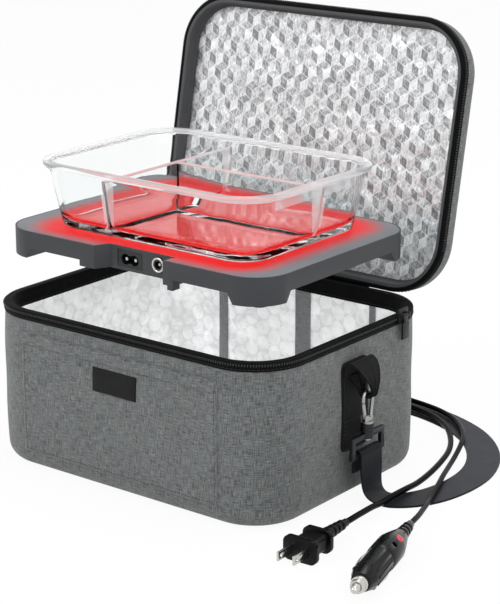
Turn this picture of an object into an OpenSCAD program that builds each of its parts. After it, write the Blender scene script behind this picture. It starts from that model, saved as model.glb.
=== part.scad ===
// Portable electric lunch box: a zipped insulated bag with a hinged lid, a flat
// heating plate with a mains inlet and a 12 V jack, and a glass food container.
// Millimetres. The origin is the centre of the bag's flat bottom, +Z is up,
// +X is the bag's right side and +Y its hinge side. The lid stands open and the
// plate and the container are lifted out, as the box is shown for use.

/* [Bag] */
// Width of the bag, side to side
bag_w = 270; // [240:1:320]
// Depth of the bag, front to hinge
bag_d = 208; // [190:1:260]
// Height of the rim above the bottom
bag_h = 124; // [110:1:160]
// Radius of the upright corners, seen from above
corner_r = 42; // [32:1:50]
// Rounding between the walls and the bottom
bottom_r = 12; // [9:1:16]
// Thickness of the outer fabric
fabric_t = 1.2; // [0.8:0.1:1.6]
// Thickness of the wall foam
foam_t = 3.5; // [2.5:0.5:6]
// Thickness of the floor foam
floor_foam_t = 5; // [3:0.5:8]
// Thickness of the foil liner
liner_t = 0.8; // [0.5:0.1:1.2]
// Thickness of the stiffening board in the bottom
board_t = 2; // [1:0.5:3]
// Height of the black band round the rim
band_h = 6; // [4:1:9]
// Depth of the black facing inside the rim
facing_h = 12; // [8:1:20]

/* [Lid] */
// Thickness of the closed lid
lid_t = 21; // [18:1:30]
// Depth of the hollow inside the lid
lid_hollow = 11; // [6:1:11]
// Angle of the lid in the open position
lid_open = 101; // [60:1:101]
// Gap between the closed lid and the rim
lid_gap = 1; // [0.6:0.1:2]

/* [Zip and trim] */
// Height of the teeth strip
teeth_h = 2.4; // [1.6:0.1:3]
// How far the teeth stand out of the band
teeth_out = 1.2; // [0.8:0.1:1.6]
// Length of the zip slider
slider_l = 12; // [8:1:16]
// Length of the pull tab
pull_l = 18; // [12:1:18]
// Width of the label patch on the front
label_w = 42; // [30:1:60]
// Height of the label patch
label_h = 18.5; // [12:0.5:24]
// Height of the top edge of the front pocket
pocket_h = 108; // [90:1:109]

/* [Shoulder strap] */
// Width of the webbing strap
strap_w = 26; // [20:1:28]
// Thickness of the webbing
strap_t = 1.6; // [1.2:0.1:2]
// Width of the patch sewn on each side
patch_w = 32; // [28:1:40]
// Height of the patch
patch_h = 68; // [60:1:72]
// Width of the ring that the strap hangs on
ring_w = 40; // [38:1:46]
// Height of the ring
ring_h = 17; // [16:1:22]

/* [Heating plate] */
// Width of the plate
plate_w = 248; // [220:1:248]
// Depth of the plate
plate_d = 186; // [160:1:186]
// Corner radius of the plate
plate_r = 28; // [24:1:36]
// Height of the heater from its feet to its top
heater_h = 22; // [20:1:26]
// Height of the feet below the housing
foot_h = 9; // [6:1:12]
// Thickness of the housing's walls
housing_t = 2.5; // [2:0.5:4]
// Depth of the notch that holds the sockets
notch_d = 11; // [8:1:14]
// How far the heater is lifted above its place in the bag
lift = 151; // [140:1:160]

/* [Glass container] */
// Width of the container at its rim
glass_w = 216; // [190:1:224]
// Depth of the container at its rim
glass_d = 164; // [150:1:168]
// Width of the container at its base
glass_base_w = 190; // [170:1:194]
// Depth of the container at its base
glass_base_d = 140; // [130:1:144]
// Height of the container
glass_h = 50; // [40:1:60]
// Thickness of its walls and dividers
glass_t = 3.2; // [2.5:0.1:4.5]
// Width of the rim's lip
lip_w = 4; // [3:0.5:6]
// Height of the lip
lip_h = 4; // [3:0.5:6]

/* [Leads] */
// Diameter of the mains lead
ac_d = 4.5; // [4:0.5:5]
// Diameter of the 12 V lead
dc_d = 4; // [3:0.5:4.5]
// Middle radius of the mains lead's coil
ac_coil_r = 27; // [24:1:28]
// Middle radius of the 12 V lead's coil
dc_coil_r = 23; // [20:1:24]
// Turns in each layer of a coil
coil_turns = 3; // [2:1:3]
// Gap between turns
coil_gap = 0.5; // [0.45:0.05:0.8]
// Diameter of the car plug
car_d = 21; // [20:0.5:22]

/* [Hidden] */
$fn = 48;

eps = 0.01;
seat_gap = 0.3;      // clearance of pieces that pass each other

// layers of the bag's wall, measured inwards from the outside
foam_in = fabric_t + foam_t;
liner_in = foam_in + liner_t;
rim_in = liner_in + 1;
band_z = bag_h - band_h;
cap_t = 1.2;
floor_foam_z = fabric_t + board_t;
floor_liner_z = floor_foam_z + floor_foam_t;
floor_z = floor_liner_z + liner_t;

// the hinge runs along the top of the rear wall
hinge_y = bag_d / 2;
hinge_z = bag_h + lid_gap / 2;
lid_z = bag_h + lid_gap;
lid_top = lid_z + lid_t;

// zip
zip_end_y = bag_d / 2 - corner_r + 4;
slider_y = zip_end_y - slider_l / 2 - 2;
teeth_z = bag_h - 3;
lid_teeth_z = lid_z + 0.8;

// heater, with its feet at heat_z
heat_z = floor_z + lift;
plate_top = heat_z + heater_h;
slab_z = heat_z + foot_h;
plate_t = 2;
pad_t = 1.2;
plate_z = plate_top - plate_t;
mat_t = 1.2;
mica_t = 0.6;
mica_z = plate_z - mat_t - mica_t;
cover_t = 2;
notch_x0 = -24;
notch_x1 = 35;
notch_slope = 6;
notch_y = -plate_d / 2 + notch_d;
socket_z0 = heat_z + 4.5;
socket_z = heat_z + 14;
ac_x = -5;
ac_bezel = [24, 14];
ac_pin_gap = 8.4;
dc_x = 22;

// hook on each side: the swivel's axis stands upright beside the bag
side_y = -1;
ring_x = bag_w / 2 + 13;
ring_t = 3;
ring_bar = 4;
ring_z = 36;
ring_top = ring_z + ring_h;
collar_h = 7;
collar_r = 4.4;
stem_r = 2;
bow_r = 6;
wire_r = 1.5;
foot_half = 3.6;     // from the swivel's axis to the foot of each leg of the hook
hook_z = ring_top + collar_h + seat_gap;
bow_z = hook_z + 18.5;
bow_top = bow_z + bow_r + wire_r;
patch_top = 106;
loop_t = 1.4;
loop_gap = 9;
gathered = 6;
// how far the round bow falls away at the gathered webbing's edge
bow_in = bow_r - wire_r;
gather_drop = bow_in - sqrt(bow_in * bow_in - gathered * gathered / 4);

// ---------- helpers ----------

// rounded rectangle of exact arcs
module rrect(w, d, r) {
    square([w - 2 * r, d], center = true);
    square([w, d - 2 * r], center = true);
    for (x = [-1, 1], y = [-1, 1])
        translate([x * (w / 2 - r), y * (d / 2 - r)]) circle(r = r, $fn = 64);
}

// the bag's outline drawn in by an inset
module outline(inset) {
    rrect(bag_w - 2 * inset, bag_d - 2 * inset, corner_r - inset);
}

// an upright wall between two insets of the bag's outline
module wall(out, in, z0, z1) {
    translate([0, 0, z0]) linear_extrude(z1 - z0) difference() {
        outline(out);
        outline(in);
    }
}

module slab(inset, z0, z1) {
    translate([0, 0, z0]) linear_extrude(z1 - z0) outline(inset);
}

// a profile carried round the bag's outline: x is outwards from it, y is height
module around() {
    for (k = [0 : 3]) {
        even = k % 2 == 0;
        len = (even ? bag_d : bag_w) - 2 * corner_r;
        dist = (even ? bag_w : bag_d) / 2;
        rotate([0, 0, 90 * k]) {
            translate([dist, len / 2, 0]) rotate([90, 0, 0]) linear_extrude(len) children();
            translate([dist - corner_r, len / 2, 0])
                rotate_extrude(angle = 90, $fn = 96) translate([corner_r, 0]) children();
        }
    }
}

// pieces of the lid are drawn closed and turned about the hinge
module on_lid() {
    translate([0, hinge_y, hinge_z]) rotate([-lid_open, 0, 0])
        translate([0, -hinge_y, -hinge_z]) children();
}

module left_too(left) {
    if (left) mirror([1, 0, 0]) children();
    else children();
}

module block(lo, hi) {
    translate(lo) cube(hi - lo);
}

// ---------- points along cords and straps ----------

function unit(v) = v / norm(v);

function spline(a, b, c, d, t) =
    0.5 * (2 * b + (c - a) * t + (2 * a - 5 * b + 4 * c - d) * t * t
    + (3 * b - a - 3 * c + d) * t * t * t);

// a smooth line through hand-chosen points, with k steps from one to the next
function through(pts, k) = let (n = len(pts) - 1) concat(
    [for (i = [0 : n - 1], j = [0 : k - 1])
        spline(pts[max(i - 1, 0)], pts[i], pts[i + 1], pts[min(i + 2, n)], j / k)],
    [pts[n]]);

function along(p, i) = unit(p[min(i + 1, len(p) - 1)] - p[max(i - 1, 0)]);

// side faces and two end caps of a tube of n rings with s points each
function skin(n, s) = concat(
    [for (i = [0 : n - 2], j = [0 : s - 1]) [i * s + j, i * s + (j + 1) % s, (i + 1) * s + j]],
    [for (i = [0 : n - 2], j = [0 : s - 1])
        [i * s + (j + 1) % s, (i + 1) * s + (j + 1) % s, (i + 1) * s + j]],
    [for (j = [1 : s - 2]) [0, j + 1, j]],
    [for (j = [1 : s - 2]) [(n - 1) * s, (n - 1) * s + j, (n - 1) * s + j + 1]]);

module tube(path, r, sides) {
    pts = [for (i = [0 : len(path) - 1], j = [0 : sides - 1])
        let (t = along(path, i), s = unit(cross(t, [0, 0, 1])), u = cross(s, t),
             a = 360 * (j + 0.5) / sides)
        path[i] + r * (cos(a) * s + sin(a) * u)];
    polyhedron(pts, skin(len(path), sides), convexity = 8);
}

// a flat band: each point is [x, y, z, heading], and its width is level, across the heading
module band(path, w, t) {
    mid = [for (p = path) [p[0], p[1], p[2]]];
    pts = [for (i = [0 : len(path) - 1], c = [[-1, -1], [1, -1], [1, 1], [-1, 1]])
        let (across = [-sin(path[i][3]), cos(path[i][3]), 0],
             n = unit(cross(along(mid, i), across)))
        mid[i] - across * c[0] * w / 2 + n * c[1] * t / 2];
    polyhedron(pts, skin(len(path), 4), convexity = 8);
}

// ---------- shoulder strap's route ----------

strap_z = strap_t / 2;
fold_r = 2.8 + strap_z;
bar_z = ring_z + ring_bar / 2;
// round the ring's lower bar and down to the floor
strap_start = concat(
    [[ring_x - fold_r, side_y, ring_z - 12, 0], [ring_x - fold_r, side_y, ring_z - 4, 0]],
    [for (a = [180 : -30 : 0])
        [ring_x + fold_r * cos(a), side_y, bar_z + fold_r * sin(a), 0]]);
// Routes are laid out for a ring at this x, and stretch with the bag's width.
route_x = 148;
function stretched(pts) =
    [for (p = pts) [for (i = [0 : len(p) - 1]) i == 0 ? p[0] * ring_x / route_x : p[i]]];
// the right half, on the floor: x, y, z and heading in degrees
strap_floor = [
    [152, -1, 26, 0], [152.2, 0, 14, 4], [153.4, 2, 7, 10], [157, 5, 2.6, 20],
    [163, 8, strap_z, 32], [170, 13, strap_z, 45], [177, 22, strap_z, 60], [183, 36, strap_z, 72],
    [186.5, 54, strap_z, 84], [187, 74, strap_z, 94], [184, 94, strap_z, 105],
    [176, 115, strap_z, 118], [164, 134, strap_z, 128], [148, 151, strap_z, 138],
    [128, 165, strap_z, 150], [102, 176, strap_z, 163], [74, 182, strap_z, 174],
    [46, 182, strap_z, 182], [18, 176, strap_z, 190]];
// the left half mirrors it nearer the bag, where the coils need the floor
strap_left = [
    [-10, 168, strap_z, 194], [-40, 159, strap_z, 196], [-72, 151, strap_z, 190],
    [-104, 148, strap_z, 182], [-132, 150, strap_z, 180], [-156, 146, strap_z, 200],
    [-174, 132, strap_z, 228], [-184, 110, strap_z, 250], [-187, 86, strap_z, 266],
    [-186, 60, strap_z, 276], [-181, 36, strap_z, 292], [-173, 18, strap_z, 312],
    [-163, 8, strap_z, 328], [-157, 5, 2.6, 340], [-153.4, 2, 7, 350], [-152.2, 0, 14, 356],
    [-152, -1, 26, 360]];
strap_end = [for (i = [len(strap_start) - 1 : -1 : 0])
    [-strap_start[i][0], strap_start[i][1], strap_start[i][2], 360]];
strap_path = concat(strap_start, stretched(strap_floor), stretched(strap_left), strap_end);
adjuster_at = stretched([[-88, 149.5]])[0];

// ---------- the leads' routes ----------

ac_plug_at = stretched([[172, -60, 9]])[0];
ac_plug_turn = 3;
car_plug_at = stretched([[211, -38, car_d / 2]])[0];
car_plug_turn = 15.5;
car_plug_roll = -40;      // the lamp faces up and to the right
ac_r = ac_d / 2;
dc_r = dc_d / 2;
over = strap_t + 0.5;    // how far a lead rises where it crosses the strap

ac_coil_at = [-112, 220];
dc_coil_at = [-22, 231.5];
ac_pitch = ac_d + coil_gap;
dc_pitch = dc_d + coil_gap;
ac_out = ac_coil_r + ac_pitch * coil_turns / 2;
dc_out = dc_coil_r + dc_pitch * coil_turns / 2;
ac_coil_in = [ac_coil_at[0] + ac_d, ac_coil_at[1] - ac_out, ac_r];
dc_coil_in = [dc_coil_at[0] + dc_d, dc_coil_at[1] - dc_out, dc_r];

ac_floor = [
    [171.6, -53, 8.9], [170.6, -44, 8.5], [169.4, -34, 7.8], [168, -22, 6.9],
    [166.8, -8, ac_r + over + 0.9], [165.6, 8, ac_r + over + 0.8], [164.6, 26, ac_r + over],
    [162.6, 44, ac_r + 0.4], [159, 66, ac_r], [153, 91, ac_r], [144.6, 116, ac_r],
    [133.4, 136, ac_r + 0.8], [119, 153, ac_r + over], [102, 165.6, ac_r + over],
    [84, 173, ac_r + over], [66, 177, ac_r + over], [46, 180, ac_r + over],
    [24, 182.8, ac_r + over], [2, 185, ac_r + over], [-24, 186.6, ac_r + 0.4], [-50, 186.2, ac_r],
    [-74, 185.7, ac_r]];
ac_route = concat([ac_plug_at], stretched(ac_floor),
    [[ac_coil_in[0] + ac_d, ac_coil_in[1], ac_r], ac_coil_in]);
dc_floor = [
    [208.8, -30, 10.1], [205.6, -20, 9.1], [201, -8, 7.7], [195.4, 6, 6.2],
    [190, 18, dc_r + over + 0.5], [184, 33, dc_r + over], [178.2, 49, dc_r + over],
    [171.8, 65, dc_r + 2], [163.9, 85, dc_r + 0.8], [155.7, 107, dc_r + 0.6],
    [147.2, 129, dc_r + 1.9],
    [138, 147, dc_r + over + 0.3], [125, 163, dc_r + over], [110, 175.4, dc_r + over],
    [93, 183.6, dc_r + over], [75, 188, dc_r + over], [56, 190.8, dc_r + over],
    [38, 194, dc_r + over], [22, 197.2, dc_r + 0.5], [7, 199.8, dc_r]];
dc_route = concat([car_plug_at], stretched(dc_floor),
    [[dc_coil_in[0] + dc_d + 4, dc_coil_in[1], dc_r], dc_coil_in]);

// A coil wound clockwise: in along the floor, up a layer where it turns back, and out
// on top, then down its tail to the floor. turns + more is where it leaves.
function layer_rise(u, n) = let (s = min(max((u - n + 0.25) / 0.5, 0), 1)) s * s * (3 - 2 * s);
function coil_point(at, d, out, pitch, n, u) =
    let (r = out - pitch * (u <= n ? u : 2 * n - u), a = -90 - 360 * u)
    [at[0] + r * cos(a), at[1] + r * sin(a), d / 2 + (d + coil_gap) * layer_rise(u, n)];
function coil_path(at, d, out, pitch, n, more, drop, reach) =
    let (last = 2 * n + more, a = -90 - 360 * last, end = coil_point(at, d, out, pitch, n, last),
         go = [sin(a), -cos(a), 0], low = end[2] - drop)
    concat(
        [[at[0] + d, at[1] - out, d / 2]],
        [for (i = [0 : 24 * last]) coil_point(at, d, out, pitch, n, i / 24)],
        [for (s = [0.125 : 0.125 : 1]) let (f = max(2 * s - 1, 0))
            end + go * reach * s - [0, 0, low * f * f * (3 - 2 * f)]],
        [end + go * (reach + d) - [0, 0, low]]);

ac_rest = 6;       // height of the mains connector's axis
dc_rest = 5;       // height of the barrel plug's axis
ac_coil_path = coil_path(ac_coil_at, ac_d, ac_out, ac_pitch, coil_turns, 0, ac_rest, 52);
dc_coil_path = coil_path(dc_coil_at, dc_d, dc_out, dc_pitch, coil_turns, 0.25, dc_rest, 42);

// least gap of a tube to itself, between points at least half a turn apart
function self_gap(p, d) = min([for (i = [0 : len(p) - 1], j = [i + 9 : 1 : len(p) - 1])
    norm(p[i] - p[j])]) - d;
echo(ac_coil_self_gap = self_gap(ac_coil_path, ac_d));
echo(dc_coil_self_gap = self_gap(dc_coil_path, dc_d));

// ---------- bag ----------

// grey woven outer fabric, turned under at the bottom edge
module bag_shell() {
    color("dimgray") {
        around() {
            translate([-fabric_t, bottom_r]) square([fabric_t, band_z - bottom_r]);
            intersection() {
                translate([-bottom_r, bottom_r]) difference() {
                    circle(r = bottom_r);
                    circle(r = bottom_r - fabric_t);
                }
                translate([-bottom_r, 0]) square(bottom_r);
            }
        }
    }
}

module base_panel() {
    color("dimgray") slab(bottom_r, 0, fabric_t);
}

module base_board() {
    color("black") slab(bottom_r + 3, fabric_t, floor_foam_z);
}

module bag_foam() {
    color("white") difference() {
        union() {
            around() intersection() {
                union() {
                    translate([-bottom_r, bottom_r]) circle(r = bottom_r - fabric_t);
                    translate([-bottom_r, bottom_r])
                        square([bottom_r - fabric_t, bag_h - cap_t - bottom_r]);
                }
                translate([-bottom_r, 0]) square([bottom_r, bag_h]);
            }
            slab(bottom_r - eps, fabric_t, floor_liner_z);
        }
        slab(foam_in, floor_liner_z, bag_h);
        slab(bottom_r + 3, 0, floor_foam_z);
    }
}

module bag_liner() {
    color("silver") {
        wall(foam_in, liner_in, floor_liner_z, bag_h - cap_t);
        slab(liner_in - eps, floor_liner_z, floor_z);
    }
}

// grey fabric strips that cover the liner's joins on the rear wall
seam_x = [for (part = [-0.67, 0.19, 0.9]) part * (bag_w / 2 - corner_r)];
seam_w = [9, 15, 6];
module liner_seam_strips() {
    color("gray") for (i = [0 : 2])
        block([seam_x[i] - seam_w[i] / 2, bag_d / 2 - liner_in - 0.6, floor_z],
              [seam_x[i] + seam_w[i] / 2, bag_d / 2 - liner_in, bag_h - facing_h]);
}

// black tape over the rim, with the facing inside
module rim_band() {
    color("black") {
        wall(0, fabric_t, band_z, bag_h);
        wall(0, rim_in, bag_h - cap_t, bag_h);
        wall(liner_in, rim_in, bag_h - facing_h, bag_h);
    }
}

// the zip runs round the front and both sides and ends at the rear corners
module zip_run(z) {
    color("black") intersection() {
        wall(-teeth_out, 0, z, z + teeth_h);
        block([-bag_w, -bag_d, z - 1], [bag_w, zip_end_y, z + teeth_h + 1]);
    }
}

module zip_teeth_bag() {
    zip_run(teeth_z);
}

// black hinge fabric, sewn to the outside of the rear wall
tape_w = 150;
tape_t = 0.8;
tape_drop = 16;
module hinge_tape_bag() {
    color("black")
        block([-tape_w / 2, hinge_y, bag_h - tape_drop], [tape_w / 2, hinge_y + tape_t, bag_h - 0.5]);
}

// flat pocket panel on the front, its hem along the top
pocket_w = 2 * (bag_w / 2 - corner_r) + 14;
pocket_t = 0.8;
module front_pocket() {
    color("dimgray") {
        block([-pocket_w / 2 + 7, -bag_d / 2 - pocket_t, bottom_r + 2],
              [pocket_w / 2 - 7, -bag_d / 2, pocket_h]);
        block([-pocket_w / 2 + 7, -bag_d / 2 - pocket_t - 0.6, pocket_h - 3],
              [pocket_w / 2 - 7, -bag_d / 2 - pocket_t, pocket_h]);
    }
}

// bare label patch sewn on the pocket
label_x = -1;
label_z = 77;
module label_patch() {
    color("black")
        block([label_x - label_w / 2, -bag_d / 2 - pocket_t - 0.9, label_z],
              [label_x + label_w / 2, -bag_d / 2 - pocket_t, label_z + label_h]);
}

// webbing patch sewn flat on a side
module side_patch(left) {
    color("black") left_too(left)
        block([bag_w / 2, side_y - patch_w / 2, patch_top - patch_h],
              [bag_w / 2 + loop_t, side_y + patch_w / 2, patch_top]);
}

// webbing folded outwards over the hook's bow and gathered where it turns
loop_x = ring_x;
loop_half = (loop_gap + 2 * loop_t) / 2;
module strap_loop(left) {
    low = bow_top - 2 * wire_r - gather_drop - seat_gap - loop_t;
    color("black") left_too(left) {
        // top seam on the patch
        hull() {
            block([bag_w / 2 + loop_t, side_y - patch_w / 2 + 1, patch_top - 9],
                  [bag_w / 2 + 3, side_y + patch_w / 2 - 1, patch_top]);
            block([loop_x + loop_half - loop_t - 4, side_y - patch_w / 2 + 5, patch_top - 8],
                  [loop_x + loop_half - 4, side_y + patch_w / 2 - 5, patch_top - 5]);
        }
        // outer leaf
        hull() {
            block([loop_x + loop_half - loop_t - 4, side_y - patch_w / 2 + 5, patch_top - 9],
                  [loop_x + loop_half - 4, side_y + patch_w / 2 - 5, patch_top - 5]);
            block([loop_x + loop_half - loop_t, side_y - gathered / 2, low],
                  [loop_x + loop_half, side_y + gathered / 2, low + 4]);
        }
        // the turn under the bow's wire
        block([loop_x - loop_half, side_y - gathered / 2, low],
              [loop_x + loop_half, side_y + gathered / 2, low + loop_t]);
        // inner leaf
        hull() {
            block([loop_x - loop_half, side_y - gathered / 2, low],
                  [loop_x - loop_half + loop_t, side_y + gathered / 2, low + 4]);
            block([bag_w / 2 + loop_t, side_y - patch_w / 2 + 5, patch_top - 11],
                  [bag_w / 2 + 2 * loop_t, side_y + patch_w / 2 - 5, patch_top - 6]);
        }
    }
}

module shoulder_strap() {
    color("black") band(strap_path, strap_w, strap_t);
}

// three-bar slide that sets the strap's length
module strap_adjuster() {
    w = strap_w + 7;
    color("black") translate([adjuster_at[0], adjuster_at[1], 0]) rotate([0, 0, 6]) {
        for (s = [-1, 1])
            translate([-12, s * (strap_w / 2 + 1.9) - 1.4, 0]) cube([24, 2.8, 3.6]);
        translate([-3, -w / 2, strap_t + 0.5]) cube([6, w, 3.6 - strap_t - 0.5]);
    }
}

// flat wire ring with the ribbed collar of the swivel on top
module strap_ring(left) {
    color("dimgray") left_too(left) translate([ring_x, side_y, 0]) difference() {
        union() {
            difference() {
                block([-ring_t / 2, -ring_w / 2, ring_z], [ring_t / 2, ring_w / 2, ring_top]);
                block([-ring_t, -ring_w / 2 + ring_bar, ring_z + ring_bar],
                      [ring_t, ring_w / 2 - ring_bar, ring_top - ring_bar]);
            }
            translate([0, 0, ring_top - ring_bar]) cylinder(r = collar_r, h = collar_h + ring_bar);
            for (k = [0 : 2])
                translate([0, 0, ring_top + 0.8 + k * 2.2]) cylinder(r = collar_r + 0.6, h = 1.1);
        }
        translate([0, 0, ring_z + ring_bar]) cylinder(r = stem_r + 0.1, h = ring_h + collar_h);
    }
}

// a round bar from one place of the hook's plane to another: y and z of its two ends
module leg(from, to, r) {
    reach = to - from;
    translate([0, from[0], from[1]]) rotate([-atan2(reach[0], reach[1]), 0, 0])
        cylinder(r = r, h = norm(reach));
}

// sprung snap hook: stem, foot, long leg and the round bow
gate_z = hook_z + 4.5;
gate_top = bow_z - 2.3;
module hook(left) {
    color("silver") left_too(left) translate([ring_x, side_y, 0]) {
        translate([0, 0, ring_top - ring_bar - 1.6]) cylinder(r = stem_r + 0.9, h = 1.3);
        translate([0, 0, ring_top - ring_bar - 1]) cylinder(r = stem_r, h = hook_z - ring_top + ring_bar + 2);
        translate([0, 0, hook_z]) cylinder(r = collar_r, h = 1.6);
        translate([-1.9, -foot_half + 1.7, hook_z + 1.5]) cube([3.8, 2 * foot_half - 0.6, 3]);
        leg([foot_half, hook_z + 2.4], [bow_r - 0.05, bow_z + 0.8], wire_r - 0.1);
        translate([0, 0, bow_z]) rotate([0, -90, 0]) rotate([0, 0, -90])
            rotate_extrude(angle = 180) translate([bow_r, 0]) circle(r = wire_r, $fn = 24);
        translate([0, -bow_r, bow_z - 2]) cylinder(r = wire_r, h = 2);
        // two ears with the gate's pin
        for (s = [-1, 1])
            translate([s * 1.75 - 0.35, -foot_half - 1.8, hook_z + 1.5]) cube([0.7, 4.4, 4.8]);
        translate([-2, -foot_half, gate_z]) rotate([0, 90, 0]) cylinder(r = 0.8, h = 4);
    }
}

module hook_gate(left) {
    color("silver") left_too(left) translate([ring_x, side_y, 0]) difference() {
        union() {
            translate([-1.2, -foot_half, gate_z]) rotate([0, 90, 0]) cylinder(r = 1.6, h = 2.4);
            intersection() {
                leg([-foot_half, gate_z], [-bow_r, gate_top], wire_r);
                translate([-1.2, -bow_r - 3, gate_z]) cube([2.4, 10, gate_top - gate_z - 0.4]);
            }
        }
        translate([-3, -foot_half, gate_z]) rotate([0, 90, 0]) cylinder(r = 0.9, h = 6);
    }
}

// slider that runs on the bag's row of teeth, with the bridge for its tab
slider_x = bag_w / 2 + teeth_out + seat_gap;
slider_t = 1.6;
module zip_slider() {
    color("black") {
        block([slider_x, slider_y - slider_l / 2, teeth_z - 1.6],
              [slider_x + slider_t, slider_y + slider_l / 2, lid_teeth_z + teeth_h + 1.6]);
        block([bag_w / 2 + seat_gap, slider_y - slider_l / 2, teeth_z - 1.6],
              [slider_x + slider_t, slider_y + slider_l / 2, teeth_z - seat_gap]);
        for (s = [-1, 1])
            block([slider_x + slider_t, slider_y + s * 3.4 - 0.8, pull_z - 1.8],
                  [slider_x + slider_t + 3.4, slider_y + s * 3.4 + 0.8, pull_z + 1.8]);
        translate([pull_x, slider_y + 3, pull_z]) rotate([90, 0, 0]) cylinder(r = 0.8, h = 6);
    }
}

pull_x = slider_x + slider_t + 1.8;
pull_z = bag_h + 1;
module zip_pull() {
    color("black") difference() {
        union() {
            translate([pull_x, slider_y + 2.3, pull_z]) rotate([90, 0, 0]) cylinder(r = 1.6, h = 4.6);
            block([pull_x - 0.7, slider_y - 2.3, pull_z - 6], [pull_x + 0.7, slider_y + 2.3, pull_z]);
            block([pull_x - 0.8, slider_y - 4, pull_z - pull_l],
                  [pull_x + 0.8, slider_y + 4, pull_z - 5]);
        }
        translate([pull_x, slider_y + 6, pull_z]) rotate([90, 0, 0]) cylinder(r = 0.88, h = 12);
    }
}

// ---------- lid ----------

edge_r = 8;
module lid_shell() {
    color("dimgray") on_lid() {
        around() {
            translate([-fabric_t, lid_z + band_h]) square([fabric_t, lid_t - band_h - edge_r]);
            intersection() {
                translate([-edge_r, lid_top - edge_r]) difference() {
                    circle(r = edge_r);
                    circle(r = edge_r - fabric_t);
                }
                translate([-edge_r, lid_top - edge_r]) square(edge_r);
            }
        }
        slab(edge_r - eps, lid_top - fabric_t, lid_top);
    }
}

lid_liner_z = lid_z + lid_hollow;
module lid_foam() {
    color("white") on_lid() difference() {
        union() {
            around() intersection() {
                union() {
                    translate([-edge_r, lid_top - edge_r]) circle(r = edge_r - fabric_t);
                    translate([-edge_r, lid_z + cap_t])
                        square([edge_r - fabric_t, lid_t - cap_t - edge_r]);
                }
                translate([-edge_r, 0]) square([edge_r, lid_top]);
            }
            slab(edge_r - eps, lid_liner_z + liner_t, lid_top - fabric_t);
        }
        slab(foam_in, 0, lid_liner_z + liner_t);
    }
}

// silver foil panel in the bottom of the hollow
module lid_liner() {
    color("silver") on_lid() slab(foam_in, lid_liner_z, lid_liner_z + liner_t);
}

// dark lining of the hollow's walls
module lid_border() {
    color("darkslategray") on_lid() wall(foam_in, liner_in, lid_z + cap_t, lid_liner_z);
}

// black band round the lid's edge, turned in under the foam
module lid_zip_band() {
    color("black") on_lid() {
        wall(0, fabric_t, lid_z, lid_z + band_h);
        wall(0, liner_in, lid_z, lid_z + cap_t);
    }
}

module zip_teeth_lid() {
    on_lid() zip_run(lid_teeth_z);
}

module hinge_tape_lid() {
    color("black") on_lid()
        block([-tape_w / 2, hinge_y, hinge_z + 2.5],
              [tape_w / 2, hinge_y + tape_t, lid_top - edge_r]);
}

// ---------- heater ----------

// the plate's outline, with the notch for the sockets in its front edge
module plate_outline(inset) {
    difference() {
        rrect(plate_w - 2 * inset, plate_d - 2 * inset, plate_r - inset);
        polygon([[notch_x0 - notch_slope - inset, -plate_d], [notch_x0 - notch_slope - inset, -plate_d / 2 - 1 + inset],
                 [notch_x0 - inset, notch_y + inset], [notch_x1 + inset, notch_y + inset],
                 [notch_x1 + inset, -plate_d]]);
    }
}

module plate_slab(inset, z0, z1) {
    translate([0, 0, z0]) linear_extrude(z1 - z0) plate_outline(inset);
}

module heater_plate() {
    color("gray") plate_slab(1.2, plate_z, plate_top);
}

// screws of the bottom cover, in bosses that webs join to the side walls
screw_x = plate_w / 2 - 18;
screw_y = 40;
screw_at = [for (x = [-1, 1], y = [-1, 1]) [x * screw_x, y * screw_y]];
boss_r = 4;
screw_r = 1.5;
screw_l = 7;
screw_head_r = 3;
screw_head_h = 1.4;
module screw_bosses() {
    for (x = [-1, 1], y = [-1, 1]) translate([x * screw_x, y * screw_y, slab_z + cover_t]) {
        cylinder(r = boss_r, h = plate_z - slab_z - cover_t);
        translate([x > 0 ? 0 : -16, -1, 0]) cube([16, 2, plate_z - slab_z - cover_t]);
    }
}

// tapered corner feet, cut from the plate's outline
foot_w = 26;
foot_slope = 6;
module corner_feet() {
    intersection() {
        plate_slab(0, heat_z + pad_t, slab_z + eps);
        for (s = [-1, 1]) translate([0, plate_d, heat_z]) rotate([90, 0, 0])
            linear_extrude(2 * plate_d) polygon([
                [s * plate_w, 0], [s * (plate_w / 2 - foot_w), 0],
                [s * (plate_w / 2 - foot_w - foot_slope), foot_h + 1], [s * plate_w, foot_h + 1]]);
        for (s = [-1, 1]) translate([-plate_w, 0, heat_z]) rotate([90, 0, 90])
            linear_extrude(2 * plate_w) polygon([
                [s * plate_d, 0], [s * (plate_d / 2 - foot_w), 0],
                [s * (plate_d / 2 - foot_w - foot_slope), foot_h + 1], [s * plate_d, foot_h + 1]]);
    }
}

// housing: side walls with a ledge for the plate, feet and the deeper socket block
module housing_shell() {
    difference() {
        union() {
            plate_slab(0, slab_z, plate_top);
            corner_feet();
            intersection() {
                plate_slab(0, socket_z0, slab_z + eps);
                block([notch_x0 - 20, -plate_d / 2, socket_z0],
                      [notch_x1 + 9, notch_y + 16, slab_z + eps]);
            }
            block([notch_x1 + 4, -plate_d / 2, heat_z + pad_t], [notch_x1 + 9, -plate_d / 2 + 8, slab_z]);
        }
        // pocket of the plate, inner room and room of the bottom cover
        plate_slab(1.2, plate_z, plate_top + 1);
        plate_slab(housing_t + 1.5, slab_z + cover_t, plate_z + eps);
        plate_slab(housing_t + 1.5, slab_z - 1, slab_z + cover_t + eps);
        // room for the sockets behind the notch's wall
        block([notch_x0 - 16, notch_y + housing_t, socket_z0 + 2],
              [notch_x1 + 6, notch_y + 13.5, slab_z + 1]);
        translate([ac_x - ac_bezel[0] / 2, notch_y - 1, socket_z - ac_bezel[1] / 2])
            cube([ac_bezel[0], housing_t + 5, ac_bezel[1] - 1]);
        translate([dc_x, notch_y - 1, socket_z]) rotate([-90, 0, 0])
            cylinder(r = 5, h = housing_t + 5);
    }
}

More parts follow.
